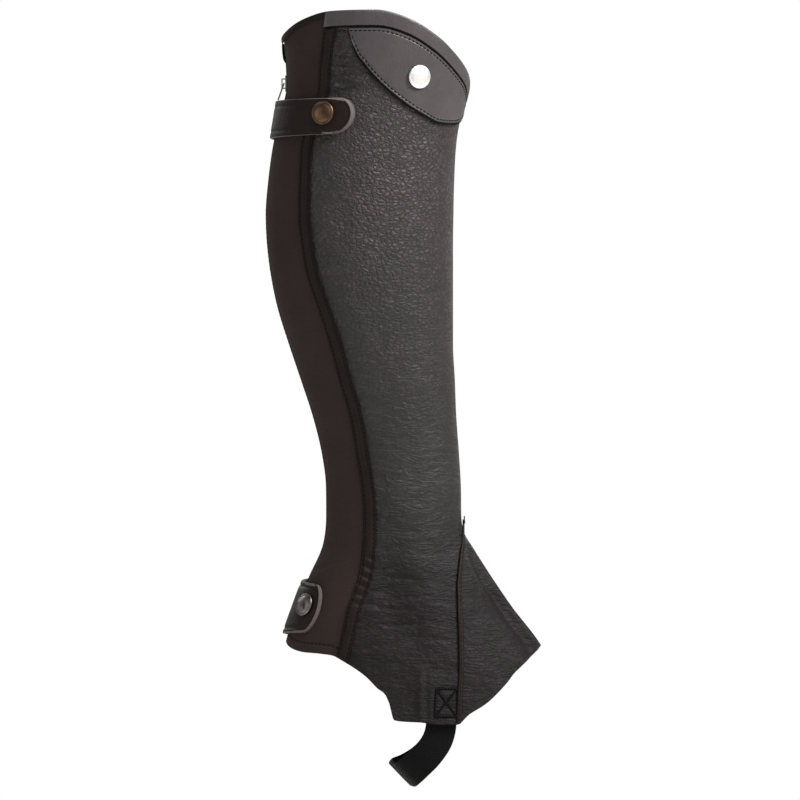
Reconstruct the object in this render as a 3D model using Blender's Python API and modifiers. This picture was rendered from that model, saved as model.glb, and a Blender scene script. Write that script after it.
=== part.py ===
"""A half chap for a rider's right leg, filled out as it stands round the calf.

Metres, +Z up. The origin is the middle of the calf, +X is the front of the leg and -Y its outer side.
Sizes and tables are in millimetres and degrees. A place on the leg is an angle and a height: the angle is
0 at the shin, 90 on the outer side, 180 at the zip in the middle of the back and -90 on the inner side.
"""

import functools
import math
from collections import namedtuple

import bmesh
import bpy
import numpy as np
from mathutils import Matrix, Vector

MM = 0.001

# Thickness of each kind of sheet
LEATHER = 1.4
TRIM = 1.2
TAB = 2.0
TAPE = 1.0
WEBBING = 1.6

# Clearances: between pieces at a seam, and under a piece that lies on a coarser one
GAP = 0.3
LAID = 0.38

# Seams and edges
STRIP_HALF = 4.5
BAND_DEPTH = 11.5
BAND_CLEAR = 0.4
BINDING_DEPTH = 4.0
PIPING_HALF = 1.8
VAMP_TOP = -204.0

# Zip at the middle of the back
BACK_CENTRE = 180.0
ZIP_OPENING = 6.0
TAPE_REACH = 14.0
TEETH_GAP = 0.4
FORK_START = 55.0
FORK_LENGTH = 25.0
FORK_OPENING = 1.4
SLIDER_HEIGHT = 88.0
SLIDER_LENGTH = 11.0
SLIDER_WIDTH = 9.0
SLIDER_PLATE = 1.3
SLIDER_FRONT = 0.6
SLIDER_BACK = -4.9
NECK_WIDTH = 1.6
NECK_LENGTH = 3.0
NECK_INSET = 0.6
CROWN_LENGTH = 7.0
CROWN_WIDTH = 1.6
CROWN_RISE = 2.5
CROWN_WALL = 0.8
PULL_LENGTH = 12.3
PULL_WIDTH = 5.4
PULL_THICK = 1.1
PULL_WINDOW = 4.6
PULL_ARM = 1.1
PULL_LEAN = 20.0

# Rows of faces up the panels: shares of the height from the vamp's tip to its top, closer towards the
# top, where the slit narrows, and how many there are above it
FOOT_ROWS = (0, 0.17, 0.34, 0.5, 0.64, 0.76, 0.86, 0.93, 0.97, 0.99)
LEG_ROWS = 25

# One row for each level of the leg. back, front and widest are along X, half_width and lean along Y.
# A ridge above 1 draws the front of the section to a fold. seam is where the outer seam runs along X.
Section = namedtuple("Section", "height back front widest half_width ridge lean seam")
SECTIONS = [
    Section(-345, -51.0, 131.0, 28, 48.0, 1.15, 0.0, -18.0),
    Section(-320, -51.0, 130.0, 25, 46.5, 1.25, 0.0, -14.0),
    Section(-300, -50.5, 127.5, 22, 45.0, 1.40, 0.0, -10.6),
    Section(-288, -49.5, 122.5, 20, 44.0, 1.55, 0.1, -8.0),
    Section(-262, -41.1, 102.9, 19, 41.5, 1.60, 0.4, -2.0),
    Section(-243, -33.8, 90.0, 20, 39.5, 1.50, 0.8, 4.6),
    Section(-223, -24.8, 77.2, 22, 37.5, 1.30, 1.2, 7.4),
    Section(-212, -22.6, 70.8, 23, 36.5, 1.12, 1.4, 8.1),
    Section(-200, -22.0, 69.2, 23, 36.0, 1.00, 1.5, 8.1),
    Section(-183, -22.1, 69.0, 22, 36.0, 1.00, 1.4, 6.8),
    Section(-160, -24.8, 67.7, 19, 37.0, 1.00, 1.0, 3.1),
    Section(-135, -30.8, 65.9, 15, 39.5, 1.00, 0.3, -1.2),
    Section(-110, -38.9, 64.9, 11, 43.0, 1.00, -0.4, -8.4),
    Section(-86, -46.9, 63.7, 7, 46.5, 1.00, -0.9, -14.8),
    Section(-62, -54.3, 63.7, 3, 49.5, 1.00, -1.2, -22.6),
    Section(-40, -58.8, 63.7, 1, 51.5, 1.00, -1.2, -30.0),
    Section(-20, -61.3, 63.7, 0, 52.5, 1.00, -1.0, -33.6),
    Section(0, -62.2, 64.0, 0, 53.0, 1.00, -0.7, -35.6),
    Section(20, -60.8, 64.4, 0, 53.0, 1.00, -0.3, -35.4),
    Section(50, -56.6, 66.2, 2, 52.5, 1.00, 0.3, -33.4),
    Section(70, -51.6, 69.8, 5, 52.5, 1.00, 0.8, -26.4),
    Section(86, -48.2, 73.5, 7, 53.0, 1.00, 1.2, -22.4),
    Section(96, -48.4, 75.0, 7, 53.5, 1.00, 1.4, -22.0),
    Section(116, -50.0, 77.5, 8, 55.0, 1.00, 1.8, -19.6),
    Section(140, -53.5, 80.0, 8, 56.5, 1.00, 2.2, -16.4),
]

# The top edge all round, highest on the outer side
TopPoint = namedtuple("TopPoint", "angle height")
TOP_EDGE = [
    TopPoint(-180, 117.0),
    TopPoint(-150, 108.0),
    TopPoint(-110, 95.0),
    TopPoint(-70, 86.0),
    TopPoint(-30, 83.0),
    TopPoint(0, 86.5),
    TopPoint(12, 94.0),
    TopPoint(32, 106.5),
    TopPoint(51, 120.6),
    TopPoint(70, 132.7),
    TopPoint(87, 137.6),
    TopPoint(116, 136.7),
    TopPoint(135, 132.0),
    TopPoint(160, 123.0),
    TopPoint(180, 117.0),
]

# The hem from the tip of the vamp to the heel, the same on both sides
HemPoint = namedtuple("HemPoint", "angle height")
HEM_EDGE = [
    HemPoint(0, -288.1),
    HemPoint(9, -289.6),
    HemPoint(38.7, -306.2),
    HemPoint(44.4, -314.0),
    HemPoint(55.1, -327.6),
    HemPoint(62.9, -335.0),
    HemPoint(67.8, -341.5),
    HemPoint(75.2, -341.7),
    HemPoint(80.8, -340.3),
    HemPoint(92.4, -338.4),
    HemPoint(94.1, -324.8),
    HemPoint(99.1, -316.9),
    HemPoint(104.1, -309.5),
    HemPoint(112.3, -301.8),
    HemPoint(121, -295.8),
    HemPoint(130, -294.1),
    HemPoint(146.4, -292.6),
    HemPoint(163, -288.8),
    HemPoint(180, -282.5),
]
HEM_CORNERS = (94.1, 92.4)

# The vamp's seam on either side of the shin
SeamPoint = namedtuple("SeamPoint", "height angle")
VAMP_SEAM = [
    SeamPoint(-345, 67.8),
    SeamPoint(-300, 63.5),
    SeamPoint(-283, 60.5),
    SeamPoint(-262, 54.5),
    SeamPoint(-243, 47.0),
    SeamPoint(-224, 32.0),
    SeamPoint(-216, 20.0),
    SeamPoint(-209, 9.0),
    SeamPoint(-204, 0.0),
]

# The largest creases: the middle of each, how far it slants from level, its length and half its width,
# and how deep it is. One with a depth below 0 is a soft ridge.
Crease = namedtuple("Crease", "angle height slant length half_width depth")
CREASES = [
    Crease(86, -250, -14, 46, 10, 1.3),
    Crease(70, -226, 10, 34, 9, 0.9),
    Crease(95, -278, -22, 40, 11, 0.9),
    Crease(80, -264, -16, 40, 9, -0.7),
    Crease(-82, -246, 12, 48, 10, 1.3),
    Crease(-64, -224, -8, 30, 9, 0.8),
    Crease(-98, -274, 20, 42, 11, 1.0),
    Crease(-84, -260, 14, 40, 9, -0.7),
    Crease(-118, -196, 6, 40, 12, 0.9),
    Crease(34, -262, 58, 52, 8, 0.8),
    Crease(-36, -266, -56, 48, 8, 0.8),
]
ARC_PER_DEGREE = 0.85
CREASE_FALL = 1.5

# The lower edge of the front patch
PatchPoint = namedtuple("PatchPoint", "angle height")
PATCH_EDGE = [
    PatchPoint(-15, 71.0),
    PatchPoint(0, 65.0),
    PatchPoint(13, 61.5),
    PatchPoint(26, 60.4),
    PatchPoint(40.6, 61.3),
    PatchPoint(53.5, 66.3),
    PatchPoint(68.7, 75.0),
    PatchPoint(81, 85.1),
    PatchPoint(91.9, 98.5),
    PatchPoint(101.4, 113.2),
    PatchPoint(103.6, 123.0),
]
PATCH_COLUMNS = 20
PATCH_ROWS = 7
PATCH_END_HEIGHT = 1.5
PATCH_GAP = 0.6

# Round metal caps: where they sit, their width and how far they stand up
Cap = namedtuple("Cap", "angle height diameter rise dome")
PATCH_STUD = Cap(60.6, 92.7, 15.8, 1.6, 0.5)
TOP_SNAP = Cap(117.6, 68.0, 16.0, 1.5, 0.9)
HEEL_SNAP = Cap(150.8, -262.0, 15.5, 1.5, 0.9)
CAP_STEPS = 28

# Closing tabs: the tip and the sewn end as angles, the middle height at both, half the height at both,
# how far the round tip reaches, the lift over the leg at the tip, over the zip and at the sewn end, how
# much more the upper edge stands off over the zip, and the faces along and across
Tab = namedtuple(
    "Tab",
    "tip sewn tip_height sewn_height tip_half sewn_half round lift_tip lift_zip lift_sewn flare along across",
)
TOP_TAB = Tab(96.4, 213.0, 66.4, 61.3, 12.3, 12.3, 12.3, 1.9, 1.9, 0.4, 1.2, 18, 6)
HEEL_TAB = Tab(136.5, 214.0, -264.0, -262.5, 16.0, 19.5, 9.0, 0.4, 1.2, 0.4, 0.0, 14, 8)

# The elastic's middle line from its outer end to its inner one. tilt is how far its width dips at the
# front, and toe how far it turns to the outer side there.
StrapPoint = namedtuple("StrapPoint", "x y z tilt toe")
STRAP_WIDTH = 20.5
STRAP_ROWS = 36
STRAP_LINE = [
    StrapPoint(56.4, -40.7, -318.0, 2, -9),
    StrapPoint(56.2, -41.5, -331.0, 3, -8),
    StrapPoint(55.4, -42.4, -344.0, 6, -7),
    StrapPoint(52.6, -42.6, -353.0, 20, -4),
    StrapPoint(46.4, -42.0, -361.8, 34, 0),
    StrapPoint(38.8, -38.8, -369.3, 43, 0),
    StrapPoint(33.8, -32.0, -373.8, 46, 0),
    StrapPoint(31.4, -20.0, -375.2, 46, 0),
    StrapPoint(29.6, 0.0, -374.8, 46, 0),
    StrapPoint(28.2, 20.0, -374.0, 46, 0),
    StrapPoint(29.4, 32.0, -371.8, 46, 0),
    StrapPoint(36.6, 38.8, -368.4, 43, 0),
    StrapPoint(45.8, 42.0, -361.8, 34, 0),
    StrapPoint(52.4, 42.6, -353.2, 20, 4),
    StrapPoint(55.4, 42.4, -344.0, 6, 7),
    StrapPoint(56.2, 41.5, -331.0, 3, 8),
    StrapPoint(56.4, 40.7, -318.0, 2, 9),
]

# Colour, roughness and metallic value of each finish
FINISHES = {
    "grain_leather": ((0.040, 0.035, 0.034), 0.55, 0.0),
    "smooth_leather": ((0.095, 0.088, 0.086), 0.45, 0.0),
    "tab_leather": ((0.022, 0.018, 0.017), 0.50, 0.0),
    "stretch_fabric": ((0.026, 0.019, 0.017), 0.90, 0.0),
    "zip_tape": ((0.012, 0.010, 0.010), 0.85, 0.0),
    "elastic_webbing": ((0.007, 0.007, 0.006), 0.80, 0.0),
    "nickel": ((0.72, 0.71, 0.69), 0.28, 1.0),
    "antique_brass": ((0.30, 0.20, 0.11), 0.38, 1.0),
    "gunmetal": ((0.20, 0.19, 0.19), 0.42, 1.0),
}


class Curve:
    """A smooth line through a table's points that never swings past them."""

    def __init__(self, points):
        self.at, self.value = (np.array(column, float) for column in zip(*points))
        rise = np.diff(self.value) / np.diff(self.at)
        slope = np.empty(len(self.at))
        slope[1:-1] = (rise[:-1] + rise[1:]) / 2
        slope[0], slope[-1] = rise[0], rise[-1]
        limit = 2.5 * np.minimum(np.abs(rise[:-1]), np.abs(rise[1:]))
        slope[1:-1] = np.where(rise[:-1] * rise[1:] > 0, np.clip(slope[1:-1], -limit, limit), 0)
        self.slope = slope

    def __call__(self, x):
        x = min(max(x, self.at[0]), self.at[-1])
        i = min(int(np.searchsorted(self.at, x, side="right")) - 1, len(self.at) - 2)
        span = self.at[i + 1] - self.at[i]
        t = (x - self.at[i]) / span
        start = (1 + 2 * t) * (1 - t) ** 2 * self.value[i] + t * (1 - t) ** 2 * span * self.slope[i]
        end = t * t * (3 - 2 * t) * self.value[i + 1] + t * t * (t - 1) * span * self.slope[i + 1]
        return start + end


LEVEL = {name: Curve([(row.height, getattr(row, name)) for row in SECTIONS]) for name in Section._fields[1:]}
TOP = Curve(TOP_EDGE)
HEM = Curve(HEM_EDGE)
VAMP = Curve(VAMP_SEAM)
PATCH = Curve(PATCH_EDGE)

# Where the outer seam, the vamp's seam and the zip meet the hem and where the outer seam meets the top
HEM_AT_SEAM = HEM(110)
HEM_AT_VAMP = HEM(68)
HEM_AT_ZIP = HEM(175)
TOP_AT_SEAM = TOP(110)


def spread(start, stop, count):
    """count + 1 values from start to stop."""
    return [start + (stop - start) * i / count for i in range(count + 1)]


def wrapped(angle):
    """The same direction between -180 and 180."""
    return (angle + 180) % 360 - 180


# The leg's form


def skin(angle, height, lift=0.0):
    """The point on the panels' outer face at an angle and a height, moved outwards by lift."""
    return bare_skin(angle, height) + (lift - crease_depth(angle, height)) * outward(angle, height)


@functools.cache
def crease_depth(angle, height):
    """How far the creases draw the leg's form in at a place."""
    depth = 0.0
    for crease in CREASES:
        round_leg = wrapped(angle - crease.angle) * ARC_PER_DEGREE
        up_leg = height - crease.height
        slant = math.radians(crease.slant)
        along = round_leg * math.cos(slant) + up_leg * math.sin(slant)
        across = up_leg * math.cos(slant) - round_leg * math.sin(slant)
        reach = (2 * along / crease.length) ** 2 + (across / crease.half_width) ** 2
        depth += crease.depth * math.exp(-CREASE_FALL * reach)
    return depth


def bare_skin(angle, height):
    turn = math.radians(angle)
    middle = LEVEL["widest"](height)
    ahead = math.cos(turn) >= 0
    reach = LEVEL["front"](height) - middle if ahead else middle - LEVEL["back"](height)
    sharp = LEVEL["ridge"](height) if ahead else 1.0
    side = math.copysign(abs(math.sin(turn)) ** sharp, math.sin(turn))
    y = LEVEL["lean"](height) - LEVEL["half_width"](height) * side
    return np.array((middle + reach * math.cos(turn), y, height))


@functools.cache
def outward(angle, height, step=0.5):
    """The direction straight out of the leg."""
    round_leg = bare_skin(angle + step, height) - bare_skin(angle - step, height)
    up_leg = bare_skin(angle, height + step) - bare_skin(angle, height - step)
    out = np.cross(up_leg, round_leg)
    return out / np.linalg.norm(out)


def moved(angle, height, distance):
    """The angle a distance further round the leg."""
    per_degree = np.linalg.norm(bare_skin(angle + 0.5, height) - bare_skin(angle - 0.5, height))
    return angle + distance / per_degree


def angle_of(x, height):
    """The angle on the outer side whose point lies at x."""
    middle = LEVEL["widest"](height)
    reach = LEVEL["front"](height) - middle if x > middle else middle - LEVEL["back"](height)
    return math.degrees(math.acos(max(-1.0, min(1.0, (x - middle) / reach))))


def seam_angle(height, distance=0.0):
    """The outer seam, or a line beside it, nearer the back where distance is above 0."""
    return moved(angle_of(LEVEL["seam"](height), height), height, distance)


def zip_angle(height, distance):
    """A line beside the zip: on the outer side where distance is above 0, on the inner side below."""
    side = math.copysign(BACK_CENTRE, distance)
    return moved(side, height, -distance)


def vamp_angle(height, distance=0.0):
    """The vamp's outer seam, or a line beside it towards the back. The inner seam is its opposite."""
    return moved(VAMP(height), height, distance)


def height_at(angle, share):
    """Share 0 is the hem, 1 the lower edge of the top band and 2 the top edge."""
    angle = wrapped(angle)
    top, hem = TOP(angle), HEM(abs(angle))
    if share <= 1:
        return hem + (top - BAND_DEPTH - hem) * share
    return top - BAND_DEPTH * (2 - share)


@functools.cache
def meet(column, share):
    """The angle and height where a column, an angle that depends on height, crosses a row."""
    height = height_at(column(0), share)
    for _ in range(40):
        miss = height_at(column(height), share) - height
        height += miss / 2
        if abs(miss) < 0.002:
            break
    return column(height), height


VAMP_SHARE = (VAMP_TOP - HEM(0)) / (TOP(0) - BAND_DEPTH - HEM(0))
SLIT_ROWS = [VAMP_SHARE * row for row in FOOT_ROWS]
PANEL_ROWS = SLIT_ROWS + spread(VAMP_SHARE, 1, LEG_ROWS) + [2.0]


# Making objects


def finish(name, material):
    colour, roughness, metallic = FINISHES[material]
    made = bpy.data.materials.new(f"{name}_{material}")
    made.use_nodes = True
    shader = made.node_tree.nodes["Principled BSDF"]
    shader.inputs["Base Color"].default_value = (*colour, 1.0)
    shader.inputs["Roughness"].default_value = roughness
    shader.inputs["Metallic"].default_value = metallic
    return made


def new_object(name, mesh, material, smooth_angle=40):
    made = bpy.data.objects.new(name, mesh)
    bpy.data.collections["half_chap"].objects.link(made)
    if material:
        mesh.materials.append(finish(name, material))
    mesh.shade_smooth()
    mesh.set_sharp_from_angle(angle=math.radians(smooth_angle))
    return made


def sheet(name, material, columns, rows, place, slit=None):
    """A closed piece of sheet. place(column, row, face, side) is a point in mm, face 1 outside and 0 inside.

    slit is a column and a row: below that row the sheet is cut open along the column, and side is -1 on
    the part before it and 1 on the part after it.
    """
    bm = bmesh.new()
    bmesh.ops.create_grid(bm, x_segments=columns, y_segments=rows, size=1)
    column_of = {v: round((v.co.x + 1) / 2 * columns) for v in bm.verts}
    row_of = {v: round((v.co.y + 1) / 2 * rows) for v in bm.verts}
    if slit:
        cut = [
            edge
            for edge in bm.edges
            if all(column_of[v] == slit[0] and row_of[v] <= slit[1] for v in edge.verts)
        ]
        bmesh.ops.split_edges(bm, edges=cut)
    spots = {}
    for vert in bm.verts:
        column = round((vert.co.x + 1) / 2 * columns)
        row = round((vert.co.y + 1) / 2 * rows)
        beside = sum(face.calc_center_median().x - vert.co.x for face in vert.link_faces)
        spots[vert] = (column, row, -1 if beside < 0 else 1)
    for vert, spot in spots.items():
        vert.co = Vector(place(*spot[:2], 1, spot[2])) * MM
    outer = {tuple(vert.co): spot for vert, spot in spots.items()}
    grown = bmesh.ops.extrude_face_region(bm, geom=bm.faces[:])["geom"]
    for vert in (item for item in grown if isinstance(item, bmesh.types.BMVert)):
        spot = outer[tuple(vert.co)]
        vert.co = Vector(place(*spot[:2], 0, spot[2])) * MM
    bmesh.ops.recalc_face_normals(bm, faces=bm.faces[:])
    mesh = bpy.data.meshes.new(name)
    bm.to_mesh(mesh)
    bm.free()
    return new_object(name, mesh, material)


def leg_sheet(name, material, columns, rows, inner, outer):
    """A sheet on the leg between two lifts. A column is an angle that depends on height."""

    def place(column, row, face, _side):
        return skin(*meet(columns[column], rows[row]), outer if face else inner)

    return sheet(name, material, len(columns) - 1, len(rows) - 1, place)


def between(first, second, share):
    """The column a share of the way from one column to another."""
    return lambda height: first(height) + (second(height) - first(height)) * share


# Panels


def outer_edge(height):
    return seam_angle(height, -GAP / 2)


def outer_strip_edge(height):
    return seam_angle(height, -STRIP_HALF)


def slit_edge(side, distance=GAP / 2):
    """A line beside the vamp's seam, on the outer side at -1 and the inner side at 1."""

    def column(height):
        angle = vamp_angle(height, distance) if height < VAMP_TOP else moved(0, height, distance)
        return -side * angle

    return column


def inner_edge(height):
    return zip_angle(height, -ZIP_OPENING)


def leather_columns():
    """The main panel's columns before and after the slit, with columns at the corners of its hem."""
    strip, front = outer_strip_edge, slit_edge(-1, PIPING_HALF)
    hem_start, hem_end = strip(HEM_AT_SEAM), front(HEM_AT_VAMP)
    corners = [(hem_start - corner) / (hem_start - hem_end) for corner in HEM_CORNERS]
    shares = spread(0, corners[0], 5) + spread(corners[1], 1, 6)
    before = [outer_edge] + [between(strip, front, share) for share in shares] + [slit_edge(-1)]
    front = slit_edge(1, PIPING_HALF)
    hem_start, hem_end = -front(HEM_AT_VAMP), -inner_edge(HEM_AT_ZIP)
    corners = [(corner - hem_start) / (hem_end - hem_start) for corner in reversed(HEM_CORNERS)]
    shares = spread(0, corners[0], 4) + spread(corners[1], 1, 13)
    after = [between(front, inner_edge, share) for share in shares]
    return before, after


def leather_panel():
    before, after = leather_columns()
    columns = before + after
    slit_column, slit_row = len(before) - 1, len(SLIT_ROWS)

    def place(column, row, face, side):
        line = columns[column]
        if column == slit_column:
            line = slit_edge(side) if row < slit_row else slit_edge(0)
        return skin(*meet(line, PANEL_ROWS[row]), 0 if face else -LEATHER)

    sheet(
        "leather_panel",
        "grain_leather",
        len(columns) - 1,
        len(PANEL_ROWS) - 1,
        place,
        (slit_column, slit_row),
    )


def stretch_panel():
    def back(height):
        return zip_angle(height, ZIP_OPENING)

    def strip(height):
        return seam_angle(height, STRIP_HALF)

    def seam(height):
        return seam_angle(height, GAP / 2)

    columns = [seam] + [between(strip, back, share) for share in spread(0, 1, 7)]
    leg_sheet("stretch_panel", "stretch_fabric", columns, PANEL_ROWS, -LEATHER, 0)


def seam_strip():
    columns = [
        lambda height: seam_angle(height, -STRIP_HALF),
        seam_angle,
        lambda height: seam_angle(height, STRIP_HALF),
    ]
    under_band = 1 - BAND_CLEAR / (TOP_AT_SEAM - BAND_DEPTH - HEM_AT_SEAM)
    rows = [*PANEL_ROWS[:-2], under_band]
    leg_sheet("seam_strip", "grain_leather", columns, rows, GAP, GAP + TRIM)


def top_band():
    before, after = leather_columns()

    def end(height):
        return seam_angle(height, STRIP_HALF)

    columns = [end] + before[1:] + after
    leg_sheet("top_band", "smooth_leather", columns, [1.0, 2.0], GAP, GAP + TRIM)


def top_binding():
    def start(height):
        return seam_angle(height, STRIP_HALF + GAP)

    def end(height):
        return zip_angle(height, ZIP_OPENING)

    columns = [between(start, end, share) for share in spread(0, 1, 7)]
    rows = [2 - BINDING_DEPTH / BAND_DEPTH, 2.0]
    leg_sheet("top_binding", "zip_tape", columns, rows, LAID, LAID + TAPE)


def zip_tape(name, side):
    """One half of the zip's tape, sewn inside the panel's edge and parting above the slider."""

    def teeth(height):
        open_share = min(max((height - FORK_START) / FORK_LENGTH, 0), 1)
        return zip_angle(height, side * (TEETH_GAP + FORK_OPENING * open_share))

    def sewn(height):
        return zip_angle(height, side * TAPE_REACH)

    columns = [sewn, between(sewn, teeth, 0.5), teeth]
    leg_sheet(name, "zip_tape", columns, PANEL_ROWS, -LEATHER - GAP - TAPE, -LEATHER - GAP)


def vamp():
    """The gusset over the instep, from just below the slit's top to the tip of the hem."""

    def edge(height):
        return vamp_angle(height, -GAP / 2)

    def beside_piping(height):
        narrow = edge(height) * 0.6
        return max(vamp_angle(height, -PIPING_HALF), narrow)

    def opposite(column):
        return lambda height: -column(height)

    columns = [edge]
    columns += [between(beside_piping, opposite(beside_piping), share) for share in spread(0, 1, 10)]
    columns += [opposite(edge)]
    leg_sheet("vamp", "grain_leather", columns, SLIT_ROWS, -LEATHER, 0)


def vamp_piping(name, side):
    columns = [
        lambda height, way=way: side * vamp_angle(height, way * PIPING_HALF) for way in (-1, 0, 1)
    ]
    leg_sheet(name, "grain_leather", columns, SLIT_ROWS[:-1], LAID, LAID + TRIM)


def front_patch():
    angles = spread(PATCH_EDGE[-1].angle, PATCH_EDGE[0].angle, PATCH_COLUMNS)

    def place(column, row, face, _side):
        angle = angles[column]
        high = TOP(angle) - BAND_DEPTH - PATCH_GAP
        low = min(PATCH(angle), high - PATCH_END_HEIGHT)
        return skin(angle, low + (high - low) * row / PATCH_ROWS, LAID + TRIM * face)

    sheet("front_patch", "smooth_leather", PATCH_COLUMNS, PATCH_ROWS, place)


# Closing tabs


def tab_place(tab):
    """A function from a share of the length and of the height to an angle, a height and a lift."""
    steps = [(0.0, tab.tip)]
    while steps[-1][1] < tab.sewn:
        travelled, angle = steps[-1]
        steps.append((travelled + 1, moved(angle, tab.tip_height, 1)))
    angle_after = Curve(steps)
    length = steps[-1][0]

    def ease(t):
        t = min(max(t, 0.0), 1.0)
        return t * t * (3 - 2 * t)

    def place(along, across):
        half = tab.tip_half + (tab.sewn_half - tab.tip_half) * along
        start = tab.round * (1 - math.sqrt(max(0.0, 1 - across * across)))
        angle = angle_after(start + (length - start) * along)
        middle = tab.tip_height + (tab.sewn_height - tab.tip_height) * along
        if angle < BACK_CENTRE:
            near_zip = ease((angle - tab.tip) / (BACK_CENTRE - tab.tip))
            lift = tab.lift_tip + (tab.lift_zip - tab.lift_tip) * near_zip
        else:
            near_zip = 1 - ease((angle - BACK_CENTRE) / (tab.sewn - BACK_CENTRE))
            lift = tab.lift_sewn + (tab.lift_zip - tab.lift_sewn) * near_zip
        return angle, middle + half * across, lift + tab.flare * across * near_zip

    return place


def closing_tab(name, tab):
    where = tab_place(tab)

    def place(column, row, face, _side):
        across = math.sin(math.radians(-90 + 180 * row / tab.across))
        angle, height, lift = where(column / tab.along, across)
        return skin(angle, height, lift + TAB * face)

    sheet(name, "tab_leather", tab.along, tab.across, place)


def tab_lift(tab, cap):
    """How far a tab's outer face stands off the leg under its cap."""
    _, _, lift = tab_place(tab)((cap.angle - tab.tip) / (tab.sewn - tab.tip), 0.0)
    return lift + TAB


# Metal


def facing(angle, height, lift):
    """A frame on the leg: X round it, Y up it and Z straight out."""
    z_axis = Vector(outward(angle, height))
    y_axis = Vector((0, 0, 1)) - z_axis * z_axis.z
    y_axis.normalize()
    x_axis = y_axis.cross(z_axis)
    place = Matrix((x_axis, y_axis, z_axis)).transposed().to_4x4()
    place.translation = Vector(skin(angle, height, lift)) * MM
    return place


def seat(cap, lift):
    """Where a flat cap's base lies on a curved face lifted off the leg."""
    centre = skin(cap.angle, cap.height)
    out = outward(cap.angle, cap.height)
    reach = lift
    for turn in range(0, 360, 30):
        angle = moved(cap.angle, cap.height, cap.diameter / 2 * math.cos(math.radians(turn)))
        height = cap.height + cap.diameter / 2 * math.sin(math.radians(turn))
        reach = max(reach, float(np.dot(skin(angle, height, lift) - centre, out)))
    return facing(cap.angle, cap.height, reach + GAP)


def metal_cap(name, material, cap, lift):
    """A turned cap with a rolled rim and a low dome."""
    radius = cap.diameter / 2
    profile = [
        (0, cap.rise + cap.dome),
        (radius * 0.45, cap.rise + cap.dome * 0.8),
        (radius * 0.78, cap.rise + cap.dome * 0.15),
        (radius * 0.84, cap.rise),
        (radius * 0.93, cap.rise * 1.04),
        (radius, cap.rise * 0.6),
        (radius * 0.97, cap.rise * 0.15),
        (radius * 0.9, 0),
        (0, 0),
    ]
    mesh = bpy.data.meshes.new(name)
    points = [(x * MM, 0, z * MM) for x, z in profile]
    mesh.from_pydata(points, [(i, i + 1) for i in range(len(points) - 1)], [])
    made = new_object(name, mesh, material)
    screw = made.modifiers.new("turn", "SCREW")
    screw.axis = "Z"
    screw.steps = screw.render_steps = CAP_STEPS
    screw.use_merge_vertices = True
    screw.merge_threshold = 0.00001
    made.matrix_world = seat(cap, lift)


def block(bm, centre, size):
    """A box in a bmesh, with its centre and size in mm."""
    place = Matrix.Translation(Vector(centre) * MM) @ Matrix.Diagonal((*(Vector(size) * MM), 1))
    bmesh.ops.create_cube(bm, size=1, matrix=place)


def block_object(name, centre, size, material=None):
    bm = bmesh.new()
    block(bm, centre, size)
    mesh = bpy.data.meshes.new(name)
    bm.to_mesh(mesh)
    bm.free()
    return new_object(name, mesh, material)


def cutter(name, centre, size):
    made = block_object(name, centre, size)
    bpy.data.collections["half_chap"].objects.unlink(made)
    bpy.data.collections["cutters"].objects.link(made)
    made.hide_render = True
    made.display_type = "WIRE"
    return made


def combine(target, other, operation):
    step = target.modifiers.new(other.name, "BOOLEAN")
    step.operation = operation
    step.object = other
    other.parent = target


def round_edges(target, width, segments=2):
    bevel = target.modifiers.new("edges", "BEVEL")
    bevel.width = width * MM
    bevel.segments = segments
    bevel.limit_method = "ANGLE"


def zip_slider():
    """Two plates and their neck, with an arched crown over the pull's bar."""
    front_middle = SLIDER_FRONT - SLIDER_PLATE / 2
    back_middle = SLIDER_BACK + SLIDER_PLATE / 2
    size = (SLIDER_WIDTH, SLIDER_LENGTH, SLIDER_PLATE)
    body = block_object("zip_slider", (0, 0, front_middle), size, "nickel")
    back = cutter("slider_back", (0, 0, back_middle), size)
    neck_y = SLIDER_LENGTH / 2 - NECK_LENGTH / 2 - NECK_INSET
    neck_size = (NECK_WIDTH, NECK_LENGTH, front_middle - back_middle)
    neck = cutter("slider_neck", (0, neck_y, (front_middle + back_middle) / 2), neck_size)
    crown_height = CROWN_RISE + SLIDER_PLATE / 2
    crown_middle = front_middle + crown_height / 2
    crown = cutter("slider_crown", (0, 0, crown_middle), (CROWN_WIDTH, CROWN_LENGTH, crown_height))
    opening_size = (CROWN_WIDTH * 2, CROWN_LENGTH - 2 * CROWN_WALL, CROWN_RISE - CROWN_WALL)
    opening_middle = SLIDER_FRONT + (CROWN_RISE - CROWN_WALL) / 2
    opening = cutter("crown_opening", (0, 0, opening_middle), opening_size)
    for other in (back, neck, crown):
        combine(body, other, "UNION")
    combine(body, opening, "DIFFERENCE")
    body.matrix_world = facing(BACK_CENTRE, SLIDER_HEIGHT, 0)


def zip_pull():
    """The pull tab: a plate with a window, whose upper bar lies under the crown on the hinge's axis."""
    plate_middle = -(PULL_LENGTH - PULL_THICK) / 2
    plate = block_object(
        "zip_pull", (0, plate_middle, 0), (PULL_WIDTH, PULL_LENGTH, PULL_THICK), "nickel"
    )
    window_middle = -PULL_THICK / 2 - PULL_WINDOW / 2
    window_size = (PULL_WIDTH - 2 * PULL_ARM, PULL_WINDOW, PULL_THICK * 2)
    combine(plate, cutter("pull_window", (0, window_middle, 0), window_size), "DIFFERENCE")
    round_edges(plate, 0.25)
    hinge = facing(BACK_CENTRE, SLIDER_HEIGHT, SLIDER_FRONT + (CROWN_RISE - CROWN_WALL) / 2)
    plate.matrix_world = hinge @ Matrix.Rotation(math.radians(-PULL_LEAN), 4, "X")


# Foot strap


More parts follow.
